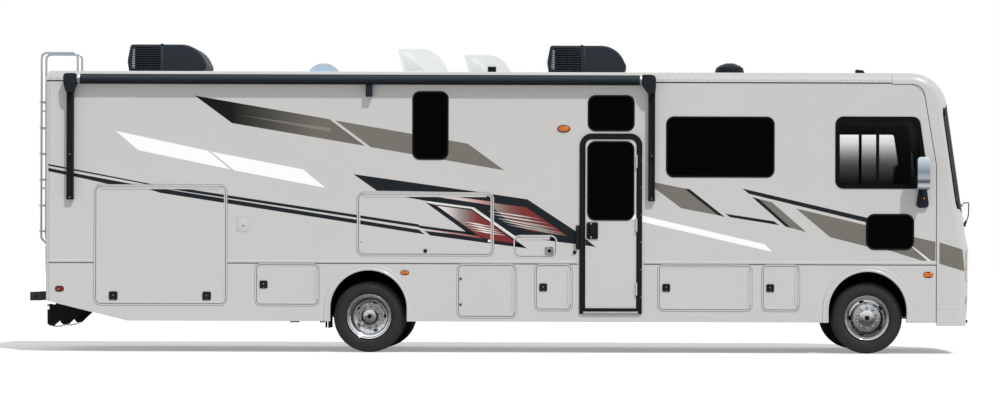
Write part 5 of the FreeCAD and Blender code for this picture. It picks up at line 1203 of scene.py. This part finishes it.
def air_conditioner_louvres():
    ends = [(x0, side) for x0 in AC_STARTS for side, _ in SIDES]
    recess = AC_HALF - AC_RECESS
    slats = []
    for i in range(10):
        z = ROOF_Z + 0.066 + i * 0.0272
        lean = (z - ROOF_Z) / AC_H
        slats += [(side_block, side, x0 + 0.05 + 0.012 * lean, x0 + 0.41 - 0.018 * lean, recess,
                   AC_HALF - 0.003, z, z + 0.0115, 0.002) for x0, side in ends]
    assemble("air_conditioner_slats", "slats", slats)
    assemble("air_conditioner_posts", "satin_black", [
        (side_block, side, x0 + place, x0 + place + 0.012, recess, AC_HALF - 0.003, ROOF_Z + 0.056,
         ROOF_Z + 0.333, 0.002) for x0, side in ends for place in (0.13, 0.235, 0.33)])
    assemble("air_conditioner_fins", "fins", [
        (side_block, side, x0 + place, x0 + place + 0.009, recess + 0.001, recess + 0.009, ROOF_Z + 0.085,
         ROOF_Z + 0.325) for x0, side in ends for place in (0.056, 0.069, 0.082)], smooth=0)

    tree = surface_of("air_conditioners")
    # Near-black slots laid on the rear faces: painted shade in place of open slots.
    slots = []
    for x0 in AC_STARTS:
        for i in range(9):
            z = ROOF_Z + 0.075 + i * 0.028
            for y0, y1 in ((-0.29, -0.105), (-0.095, 0.095), (0.105, 0.29)):
                hits = [cast(tree, (x0 - 0.3, y, height), (1, 0, 0))[0]
                        for y, height in ((y0, z), (y1, z), (y1, z + 0.014), (y0, z + 0.014))]
                slots.append((skin, [[hit + Vector((off, 0, 0)) for hit in hits] for off in (-0.0012, 0.0028)]))
    assemble("air_conditioner_rear_slots", "void_black", slots, smooth=0)

    straps = []
    for middle, front in COOLER_STRAPS:
        for side, _ in SIDES:
            for x0, x1, z0, z1, depth, bevel in (
                (middle - 0.02, middle + 0.02, 3.345, 3.64, 0.007, 0.003),
                (middle + 0.024, front, 3.448, 3.456, 0.0035, 0.0012),
            ):
                face = abs(cast_from_side(tree, side, x1 - 0.004, (z0 + z1) / 2)[0].y)
                straps.append((side_block, side, x0, x1, face - 0.002, face + depth, z0, z1, bevel))
    assemble("air_conditioner_straps", "slats", straps)


def roof_details():
    base, bolts = [], []
    for x, y in VENT_COVERS:
        base.append((block, (x + 0.05, y - 0.235, ROOF_Z), (x + 0.6, y + 0.235, ROOF_Z + 0.012), 0.004))
        outline = soft_outline([(x + 0.105, ROOF_Z + 0.06), (x + 0.33, ROOF_Z + 0.06),
                                (x + 0.15, ROOF_Z + 0.265), (x + 0.06, ROOF_Z + 0.265)], 0.03)
        for side, _ in SIDES:
            base.append((plate, outline, y + side * 0.21, y + side * 0.213, 0.002))
            bolts.append((disc, x + 0.098, ROOF_Z + 0.028, 0.009, y + side * 0.2095, y + side * 0.2145, 10))
    assemble("vent_cover_details", "white_plastic", base, smooth=30)
    assemble("vent_cover_bolts", "satin_black", bolts)
    rings = [[(-2.198 + radius * c, radius * 1.43 * s, ROOF_Z + height) for c, s in circle(56)]
             for radius, height in ((0.215, 0), (0.215, 0.014), (0.203, 0.018), (0.19, 0.002))]
    assemble("skylight_flange", "white_plastic", [(skin, rings, True)])


# ======== nose
def nose_grids(tree, side, ys, zs, sinks, columns, rows, middle=(0, 2.3)):
    """Grids of points on the nose between two distances to the side and two heights, one for each sink."""
    across = [side * (ys[0] + (ys[1] - ys[0]) * i / columns) for i in range(columns + 1)]
    up = [zs[0] + (zs[1] - zs[0]) * j / rows for j in range(rows + 1)]
    return [[[on_nose(tree, y, z, sink, middle) for z in up] for y in across] for sink in sinks]


def long_loop(sides, corner, grow, spacing=0.06):
    """Rounded rectangle with points along its straight sides too."""
    loop = [Vector(p) for p in rounded_loop(sides, corner, grow)]
    points = []
    for a, b in zip(loop, loop[1:] + loop[:1]):
        parts = max(1, int((b - a).length / spacing))
        points += [a.lerp(b, k / parts) for k in range(parts)]
    return points


def windshield_details():
    """Black band round the face of the windshield, lightened by a painted reflection, and rubber from each side edge
    back over the cap.
    """
    glass_tree, cap_tree = surface_of("windshield"), surface_of("front_cap")
    rows = [(0, 0.0006), (0, -0.0016), (-0.014, -0.0016), (-0.028, -0.0012), (-0.042, -0.0012),
            (-0.058, -0.001), (-0.058, 0.0006), (-0.042, 0.0006), (-0.028, 0.0006), (-0.014, 0.0006)]
    rings = [[on_nose(glass_tree, y, z, sink) for y, z in long_loop((-1.253, 1.253, 1.643, 2.942), 0.116, grow)]
             for grow, sink in rows]
    assemble("windshield_border", "border", [(skin, rings, True)])
    for side, name in SIDES:
        layers = []
        for lift in (-0.0006, 0.0016):
            grid = []
            for i in range(25):
                z = 1.7 + 1.185 * i / 24
                edge = on_nose(glass_tree, side * 1.252, z).x
                hits = [cast_from_side(cap_tree, side, edge - back, z)
                        for back in (0.002, 0.008, 0.014, 0.021, 0.028)]
                grid.append([hit + normal * lift for hit, normal in hits])
            layers.append(grid)
        assemble(f"windshield_gasket_{name}", "satin_black", [(sheet, layers)], smooth=40)


def ahead(x, z=0):
    """Offset forwards and up."""
    return Vector((x, 0, z))


def cowl_and_wipers():
    """Black cowl on the cap below the windshield, and a wiper on each side."""
    tree, glass_tree = surface_of("front_cap"), surface_of("windshield")
    y_end, top = 1.16, 1.632
    layers = []
    for sink in (0.0008, -0.0022):
        grid = []
        for i in range(41):
            y = -y_end + 2 * y_end * i / 40
            foot = 1.512 + 0.05 * (abs(y) / y_end) ** 3
            grid.append([on_nose(tree, y, top + (foot - top) * j / 4, sink) for j in range(5)])
        layers.append(grid)
    assemble("windshield_cowl", "satin_black", [(sheet, layers)])

    for side, name in SIDES:
        pivot = on_nose(tree, side * 1, 1.52)
        tip = on_nose(glass_tree, side * 0.98, 1.772) + ahead(0.03)
        knee, elbow = Vector((5.5, side * 1, 1.64)), Vector((5.505, side * 0.99, 1.782))
        root = pivot + ahead(0.02, 0.006)
        assemble(f"wiper_arm_{name}", "satin_black", [
            (tube, [pivot - ahead(0.01), pivot + ahead(0.03)], 0.024, 16),
            (tube, [root, root.lerp(knee, 0.5) + ahead(0.006), knee, elbow, tip], 0.0065, 10, 0.02),
            (tube, [root, root.lerp(knee, 0.35)], 0.014, 10)], smooth=40)
        points = [on_nose(glass_tree, side * (1.13 - 0.86 * i / 8), 1.735 + 0.055 * i / 8) + ahead(0.01)
                  for i in range(9)]
        backs = [p + ahead(0.01 + 0.016 * math.sin(math.pi * k / 8)) for k, p in enumerate(points)]
        assemble(f"wiper_blade_{name}", "satin_black",
                 [(tube, points, 0.006, 8), (tube, backs[1:-1], 0.005, 8)])


# columns: distance to the side, height, radius of each lamp bowl
LAMP_BOWLS = [(1.02, 1.055, 0.088), (0.83, 1.055, 0.078), (1.085, 0.632, 0.048)]


def headlamp_insides():
    """Chrome-lined housings behind the clear panes, with bowls, bulbs and an amber turn lamp."""
    tree = surface_of("headlamps")
    for side, name in SIDES:
        for kind, key, ys, zs, depth in (("headlamp", "chrome", (0.715, 1.236), (0.846, 1.226), 0.03),
                                         ("fog", "trim", (0.954, 1.232), (0.588, 0.678), 0.026)):
            middle = (side * sum(ys) / 2, sum(zs) / 2)
            grids = nose_grids(tree, side, ys, zs, (depth + 0.002, depth), 14, 8, middle)
            assemble(f"{kind}_liner_{name}", key, [(sheet, grids)], slot="polished_metal")
        bowls, bulbs = [], []
        for y, z, r in LAMP_BOWLS:
            front = on_nose(tree, side * y, z, 0.016)
            bowls.append((lathe, [
                (r, 0), (r * 1.06, 0.002), (r * 1.06, 0.006), (r * 0.97, 0.006), (r * 0.9, -0.004),
                (r * 0.72, -0.0095), (r * 0.4, -0.0125), (r * 0.12, -0.013)], front, 40, "X"))
            bulbs.append((lathe, [(r * 0.2, -0.011), (r * 0.22, 0.001), (r * 0.12, 0.006)], front, 20, "X"))
        assemble(f"lamp_bowls_{name}", "chrome", bowls, smooth=40)
        assemble(f"lamp_bulbs_{name}", "white_plastic", bulbs, slot="clear_lens")
        grids = nose_grids(tree, side, (1.142, 1.22), (0.93, 1.16), (0.026, 0.014), 4, 6)
        assemble(f"turn_lamp_{name}", "amber", [(sheet, grids)])


FOREMOST = 5.5275           # the bumper's own reach, which its lip doesn't pass


def nose_creases():
    """Fine raised line round the nose above the lamps, and the lip of the bumper."""
    tree = surface_of("front_cap")
    flank = [5.108 + 0.252 * i / 12 for i in range(13)]
    path = [((x, -SIDE_RAY_Y), (0, 1)) for x in flank]
    path += [((NOSE_RAY_X, -1.13 + 2.26 * i / 60), (-1, 0)) for i in range(61)]
    path += [((x, SIDE_RAY_Y), (0, -1)) for x in reversed(flank)]
    for name, height, rise in (("upper", 1.342, 0.0022), ("lower", 0.545, 0.003)):
        rings = []
        for start, way in path:
            ring = []
            for up, lift in ((0.011, -0.0004), (0.004, rise), (-0.004, rise), (-0.011, -0.0004)):
                hit, normal = cast(tree, (*start, height + up), (*way, 0))
                spot = hit + normal * lift
                ring.append((min(spot.x, FOREMOST), spot.y, spot.z))
            rings.append(ring)
        assemble(f"nose_crease_{name}", "body", [(skin, rings)], slot="gelcoat")


def grille_details():
    tree = surface_of("grille")
    bars = []
    for z in (0.748 + i * 0.054 for i in range(7)):
        layers = []
        for sink, slope in ((0.004, 0.006), (-0.004, 0)):
            grid = []
            for y in (-0.53 + 1.06 * k / 24 for k in range(25)):
                face = min(on_nose(tree, y, z).x - sink, CAD_BOX[1][0] - 0.0002)
                grid.append([(face, y, z), (face - slope, y, z + 0.02)])
            layers.append(grid)
        bars.append((sheet, layers))
    assemble("grille_bars", "chrome", bars)


def mirror_details():
    tree = surface_of("mirrors")
    for side, name in SIDES:
        y0, y1 = sorted((side * 1.388, side * 1.563))
        rings = [[(x, y, z) for y, z in rounded_loop((y0, y1, 1.99, 2.275), 0.03, grow, 6)]
                 for x, grow in ((4.8435, 0), (4.8422, -0.004))]
        assemble(f"mirror_glass_{name}", "mirror", [(skin, rings)], smooth=0)
        assemble(f"mirror_spot_{name}", "mirror", [
            (lathe, [(0.02, 4.844), (0.028, 4.8425), (0.024, 4.8422)], (0, side * 1.475, 1.952), 28, "X")])
        face = cast_from_side(tree, side, 4.943, 1.823)[0].y
        assemble(f"mirror_foot_lamp_{name}", "amber", [
            (disc, 4.943, 1.823, 0.011, face - side * 0.004, face + side * 0.006, 14)])


# ======== back end
def safety_chains():
    """A chain in a slack arc on each side of the hitch."""
    shape = bmesh.new()
    for side, _ in SIDES:
        y = side * 0.434
        start, low, end = Vector((-5.43, y, 0.3)), Vector((-5.33, y, 0.246)), Vector((-5.2, y, 0.32))
        points = [start * (1 - t) ** 2 + low * 2 * t * (1 - t) + end * t ** 2
                  for t in (i / 14 for i in range(15))]
        for k, (a, b) in enumerate(zip(points, points[1:])):
            link(shape, a, b, k % 2)
    piece("safety_chains", shape, "galvanised", smooth=40)


def link(shape, a, b, turned_over):
    """Chain link: a small closed loop between two points, turned by a quarter for every other one."""
    along = (b - a).normalized()
    side = Vector((0, 1, 0)) if turned_over else along.cross(Vector((0, 1, 0)))
    across = along.cross(side)
    length = (b - a).length * 0.5 + 0.004
    rings = []
    for c, s in circle(14):
        centre = (a + b) / 2 + along * (length * c) + side * (0.0085 * s)
        outward = (along * c + side * s).normalized()
        rings.append([centre + outward * (0.0032 * u) + across * (0.0032 * v) for u, v in circle(6)])
    skin(shape, rings, closed=True)


def bumper_end_caps():
    outer, socket = (-5.524, -5.43, 0.6, 0.694), (-5.48, -5.444, 0.629, 0.665)
    # columns: outline, corner, growth, distance to the side
    rows = [(outer, 0.01, 0, 1.15), (outer, 0.01, 0.0038, 1.152), (outer, 0.01, 0.0038, 1.176),
            (outer, 0.01, 0.001, 1.18), (outer, 0.01, -0.008, 1.18), (socket, 0.0175, 0, 1.18),
            (socket, 0.0175, -0.001, 1.154)]
    assemble("bumper_end_caps", "rubber", [
        (skin, [[(x, side * y, z) for x, z in rounded_loop(sides, corner, grow, 5)]
                     for sides, corner, grow, y in rows]) for side, _ in SIDES])


# ======== seams and arches
CAP_SEAM = [(4.5735, 3.1565), (4.931, 3.1565), (5.0935, 2.205), (5.0935, 0.366)]
BELT_SPANS = [(-5.289, -4.772), (-3.196, 0.897), (1.67, 5.092)]
# columns: axle, radius, height of the circle's centre
ARCHES = [(REAR_AXLE_X, 0.448, 0.514), (FRONT_AXLE_X, 0.457, 0.505)]
ARCH_FOOT_Z = 0.367
ARCH_BEADS = [
    [(-0.001, 0), (-0.003, 0.004), (-0.007, 0.0065), (-0.018, 0.0065), (-0.026, 0.003), (-0.03, 0)],
    [(-0.05, -0.0002), (-0.058, 0.002), (-0.066, 0.0012), (-0.0705, -0.004), (-0.0735, -0.0102),
     (-0.05, -0.0102)],
]


def seams_and_arches():
    """Sealant in the joint with the cap, a dark strip under the belt that is partly its joint and partly painted
    shadow under the belt moulding, and the lips of the wheel arches.
    """
    seam = [(-0.0045, -0.0008), (-0.0035, 0.0012), (0.0035, 0.0012), (0.0045, -0.0008)]
    for side, name in SIDES:
        spans = BELT_SPANS if side < 0 else [(-5.289, 5.092)]
        assemble(f"body_seams_{name}", "seal", [
            (ribbon, eased(CAP_SEAM, (0.14, 0.02), 6), seam, side * -WALL_Y, side),
            # Strips under the belt: partly the joint, partly painted shadow of the belt moulding.
            *((side_block, side, x0, x1, 1.279, 1.2808, 1.0375, 1.0455) for x0, x1 in spans)])
        lips = []
        for axle, radius, centre_z in ARCHES:
            turns = [math.pi * k / 48 for k in range(49)]
            path = [(axle + radius, ARCH_FOOT_Z),
                    *((axle + radius * math.cos(t), centre_z + radius * math.sin(t)) for t in turns),
                    (axle - radius, ARCH_FOOT_Z)]
            lips += [(ribbon, path, profile, side * SKIRT_Y, side) for profile in ARCH_BEADS]
        assemble(f"arch_lips_{name}", "body", lips, smooth=50, slot="skirt_paint")


# ======== lamps
SIDE_MARKERS = [(-5.218, -5.113, 0.702, 0.771), (-1.176, -1.076, 0.908, 0.964), (4.942, 5.056, 0.894, 0.965)]
ENTRY_LAMP = (0.652, 0.808, 2.58, 2.67)
CLEARANCE_YS, CLEARANCE_Z = (-1, -0.2, 0, 0.2, 1), 3.138
REAR_WALL_X = -5.3295


def oval(sides):
    """Slot-shaped outline inside a rectangle."""
    return rounded_loop(sides, min(sides[1] - sides[0], sides[3] - sides[2]) / 2 * 0.92)


def ellipse(sides, grow=0, steps=36):
    """Ellipse that fills a rectangle in X and Z."""
    x0, x1, z0, z1 = grown(sides, grow)
    return [((x0 + x1) / 2 + (x1 - x0) / 2 * c, (z0 + z1) / 2 + (z1 - z0) / 2 * s) for c, s in circle(steps)]


def marker(bases, lenses, sides, side, depth=0.0098):
    """Side marker: a dark base, partly painted shadow round the lens, with a lens whose middle is waisted."""
    x0, x1, z0, z1 = grown(sides, -0.006)
    foot = side * 1.2836
    # Dark base: the lamp's base and a painted shadow round its lens.
    plate(bases, oval(sides), side * 1.2798, side * 1.2838, 0.002)
    middle = (x0 + x1) / 2
    for a, b in ((x0, middle - 0.0015), (middle + 0.0015, x1)):
        plate(lenses, oval((a, b, z0, z1)), foot, side * (depth - WALL_Y), 0.006)
    waist = rounded_loop((x0 + 0.02, x1 - 0.02, z0 + 0.008, z1 - 0.008), 0.004)
    plate(lenses, waist, foot, side * (depth * 0.8 - WALL_Y), 0.002)


def signal_lamps():
    """Every outside lamp: markers, the entry lamp, tail lamps and roof clearance lamps."""
    bases, red, amber, bezels, clear = (bmesh.new() for _ in range(5))
    for side, _ in SIDES:
        for place, sides in enumerate(SIDE_MARKERS):
            marker(bases, red if place == 0 else amber, sides, side)
        # Small amber spot on the rear red marker: painted highlight.
        plate(amber, ellipse((-5.19, -5.166, 0.726, 0.741), 0, 16), side * 1.289, side * 1.2906, 0.0005)
        lo, hi = lamp_box(*sorted((side * 0.6, side * 1.25)))
        height = hi.z - lo.z
        standing_plate(bezels, (lo.y, hi.y, lo.z, hi.z), 0.03, REAR_WALL_X, lo.x + 0.008, 0.004)
        for target, low, high in ((clear, 0.03, 0.27), (amber, 0.29, 0.5), (red, 0.52, 0.97)):
            band = (lo.y + 0.012, hi.y - 0.012, lo.z + height * low, lo.z + height * high)
            standing_plate(target, band, 0.012, lo.x + 0.009, lo.x, 0.004)
    assemble("entry_lamp_base", "red_brown", [
        (plate, ellipse(ENTRY_LAMP), -1.2798, -1.286, 0.003),
        (plate, ellipse(ENTRY_LAMP, -0.005), -1.2858, -1.289, 0.002)], smooth=40)
    plate(amber, ellipse(ENTRY_LAMP, -0.013), -1.2888, -1.3018, 0.01)
    z = CLEARANCE_Z
    for y in CLEARANCE_YS:
        standing_plate(bases, (y - 0.05, y + 0.05, z - 0.018, z + 0.017), 0.01, REAR_WALL_X, -5.336, 0.002)
        standing_plate(red, (y - 0.042, y + 0.042, z - 0.012, z + 0.012), 0.01, -5.3355, -5.3465, 0.004)
    piece("tail_lamp_bezels", bezels, "chrome")
    piece("reversing_lenses", clear, "white_plastic", slot="clear_lens")
    piece("lamp_bases", bases, "satin_black")
    piece("amber_lenses", amber, "amber", smooth=40)
    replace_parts(piece("red_lenses", red, "red", smooth=40), "signal_lamps")


def lamp_box(low, high):
    """Corners of the tail lamp between two distances to the side, read from its node."""
    points = [v.co for v in NODES["signal_lamps"].data.vertices
              if v.co.x < -5.2 and low < v.co.y < high and 0.85 < v.co.z < 1.3]
    return [Vector(pick(p[i] for p in points) for i in range(3)) for pick in (min, max)]


# ======== cockpit
def cockpit_lining():
    """Dark panels inside round the cockpit windows; the valance over them hangs lower than the glass."""
    outer = rounded_loop((3.76, 5.04, 1.76, 2.985), 0.02, 0, 6)
    for (side, name), front in zip(SIDES, (4.76, 4.816)):
        hole = soft_outline([(front, 2.668), (3.935, 2.668), (3.935, 1.985), (front + 0.106, 1.985)], 0.03, 6)
        rings = [[(x, side * y, z) for x, z in loop] for loop, y in
                 ((outer, 1.2285), (outer, 1.2235), (hole, 1.2235), (hole, 1.2285))]
        assemble(f"cockpit_lining_{name}", "lining", [(skin, rings, True)], smooth=0)


SEAT_Y = 0.69
# columns: name, outline in X and Z, half width, largest swell
PADS = [
    ("cushion", [(3.49, 1.362), (4.035, 1.362), (4.05, 1.505), (3.49, 1.47)], 0.258, 0.012),
    ("backrest", [(3.432, 1.455), (3.548, 1.478), (3.392, 2.165), (3.275, 2.15)], 0.243, 0.012),
    ("headrest", [(3.3, 2.175), (3.378, 2.185), (3.34, 2.385), (3.272, 2.378)], 0.138, 0.01),
]


def seats():
    """Two captain's chairs: padded forms puffed by a cloth run, on a pedestal."""
    for side, name in SIDES:
        y = side * SEAT_Y
        for part, outline, half, swell in PADS:
            loop = soft_outline(outline, 0.028, 4)
            edges = [(-half, 0.02), (-half + 0.008, 0.006), (-half + 0.02, 0), (half - 0.02, 0),
                     (half - 0.008, 0.006), (half, 0.02)]
            pad = assemble(f"seat_{part}_{name}", "leather", [
                (skin, [drawn_in(loop, y + off, pull) for off, pull in edges])], smooth=50)
            puff(pad, swell)
        pedestal = assemble(f"seat_pedestal_{name}", "satin_black", [
            (block, (3.57, y - 0.17, 1.0905), (3.97, y + 0.17, 1.3), 0.02),
            (block, (3.54, y - 0.22, 1.3), (3.99, y + 0.22, 1.352), 0.012),
            *((tube, [(3.325, y + off, 2.12), (3.318, y + off, 2.21)], 0.006, 10) for off in (-0.06, 0.06))])
        if side < 0:
            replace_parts(pedestal, "cab_seats")
        assemble(f"seat_armrests_{name}", "leather", [
            form for at in (y - 0.292, y + 0.292) for form in (
                (block, (3.5, at - 0.028, 1.69), (3.83, at + 0.028, 1.745), 0.018, 3),
                (block, (3.47, at - 0.012, 1.62), (3.52, at + 0.012, 1.73), 0.008))])


def puff(pad, swell):
    """Blows a closed pad up a little with a cloth run, and keeps each point within swell."""
    scene = bpy.context.scene
    remesh = pad.modifiers.new("even", "REMESH")
    remesh.mode = "VOXEL"
    remesh.voxel_size = 0.012
    apply_modifiers(pad)
    before = [v.co.copy() for v in pad.data.vertices]
    cloth = pad.modifiers.new("cloth", "CLOTH")
    cloth.settings.use_pressure = True
    cloth.settings.uniform_pressure_force = 4
    cloth.settings.effector_weights.gravity = 0
    cloth.settings.quality = 6
    cloth.point_cache.frame_start = 1
    cloth.point_cache.frame_end = 14
    for step in range(1, 15):
        scene.frame_set(step)
    shown = pad.evaluated_get(bpy.context.evaluated_depsgraph_get())
    after = [v.co.copy() for v in shown.data.vertices]
    pad.modifiers.remove(cloth)
    for vert, old, new in zip(pad.data.vertices, before, after):
        move = new - old
        if move.length > swell:
            move = move.normalized() * swell
        vert.co = old + move
    scene.frame_set(1)
    pad.data.update()


def apply_modifiers(obj):
    """Bakes an object's modifiers into its mesh."""
    shown = obj.evaluated_get(bpy.context.evaluated_depsgraph_get())
    mesh = bpy.data.meshes.new_from_object(shown)
    old = obj.data
    obj.modifiers.clear()
    mesh.materials.clear()
    for material in old.materials:
        mesh.materials.append(material)
    obj.data = mesh
    mesh.polygons.foreach_set("use_smooth", [True] * len(mesh.polygons))


# ======== stage, camera and light
FLOOR = (-60, -60, -0.02), (60, 260, 0)
FLOOR_GLOW = 0.3


def stage():
    """White floor that shows a little brighter to the camera, so that only the shadow is left of it."""
    mesh = bpy.data.meshes.new("studio_floor")
    shape = bmesh.new()
    block(shape, *FLOOR)
    shape.to_mesh(mesh)
    shape.free()
    floor = bpy.data.objects.new("studio_floor", mesh)
    bpy.context.scene.collection.objects.link(floor)
    made = Surface("studio_floor")
    made.finish(made.mix(made.noise(0.6), grey(0.86), grey(0.88)), 0.9, Specular_IOR_Level=0.1)
    bright = made.add("Emission", {"Color": grey(1), "Strength": FLOOR_GLOW})
    matt = made.shader.outputs[0]
    both = made.add("AddShader", {0: matt, 1: bright.outputs[0]})
    seen = made.add("LightPath").outputs["Is Camera Ray"]
    shown = made.add("MixShader", {0: seen, 1: matt, 2: both.outputs[0]})
    made.feed(made.tree.nodes["Material Output"].inputs["Surface"], shown.outputs[0])
    mesh.materials.append(made.material)


SKY_LEVEL = 0.42
SUN_LEVEL, SUN_SPREAD = 2.35, math.radians(2.5)
SUN_TRAVEL = (-0.6, 1, -1.5)


def light():
    """Soft sky that looks white to the camera, in reflections and through glass, and one sun."""
    world = bpy.data.worlds.new("studio")
    bpy.context.scene.world = world
    world.use_nodes = True
    tree = world.node_tree
    sky = tree.nodes["Background"]
    white, path, either, any_of, mix = (tree.nodes.new(f"ShaderNode{kind}") for kind in (
        "Background", "LightPath", "Math", "Math", "MixShader"))
    for node, colour, level in ((sky, (0.97, 0.985, 1, 1), SKY_LEVEL), (white, grey(1), 1)):
        node.inputs["Color"].default_value = colour
        node.inputs["Strength"].default_value = level
    either.operation = any_of.operation = "MAXIMUM"
    for output, socket in (
        (path.outputs["Is Camera Ray"], either.inputs[0]), (path.outputs["Is Glossy Ray"], either.inputs[1]),
        (either.outputs[0], any_of.inputs[0]), (path.outputs["Is Transmission Ray"], any_of.inputs[1]),
        (any_of.outputs[0], mix.inputs[0]), (sky.outputs[0], mix.inputs[1]), (white.outputs[0], mix.inputs[2]),
        (mix.outputs[0], tree.nodes["World Output"].inputs["Surface"]),
    ):
        tree.links.new(output, socket)

    lamp = bpy.data.lights.new("key", "SUN")
    lamp.energy, lamp.angle, lamp.color = SUN_LEVEL, SUN_SPREAD, (1, 0.99, 0.97)
    sun = bpy.data.objects.new("key", lamp)
    sun.rotation_euler = Vector(SUN_TRAVEL).to_track_quat("-Z", "Y").to_euler()
    bpy.context.scene.collection.objects.link(sun)


CAMERA_X = 1.31
CAMERA_HEIGHT = 1.1
CAMERA_DISTANCE = 36      # from the curb-side wall
VIEW_WIDTH = 11.7           # width of the view at the wall
VIEW_SHIFT = (-0.113, 0.0593)
VIEW_ROLL = -0.003


def camera():
    data = bpy.data.cameras.new("camera")
    data.sensor_width = 36
    data.lens = data.sensor_width * CAMERA_DISTANCE / VIEW_WIDTH
    data.shift_x, data.shift_y = VIEW_SHIFT
    data.clip_end = 1000
    obj = bpy.data.objects.new("camera", data)
    obj.location = (CAMERA_X, WALL_Y - CAMERA_DISTANCE, CAMERA_HEIGHT)
    obj.rotation_euler = (math.radians(90), VIEW_ROLL, 0)
    bpy.context.scene.collection.objects.link(obj)
    bpy.context.scene.camera = obj


def main():
    bpy.context.scene.view_settings.view_transform = "Standard"
    for build in (
        stage, light, camera, dress_frame, graphics, laid_on_cap, door_beads, window_seals, wheels, hand_holes,
        awning_details, roof_edges, entry_details, fittings, air_conditioner_louvres, roof_details,
        windshield_details, cowl_and_wipers, headlamp_insides, nose_creases, grille_details, mirror_details,
        signal_lamps, seams_and_arches, cockpit_lining, safety_chains, bumper_end_caps, seats,
    ):
        build()


main()
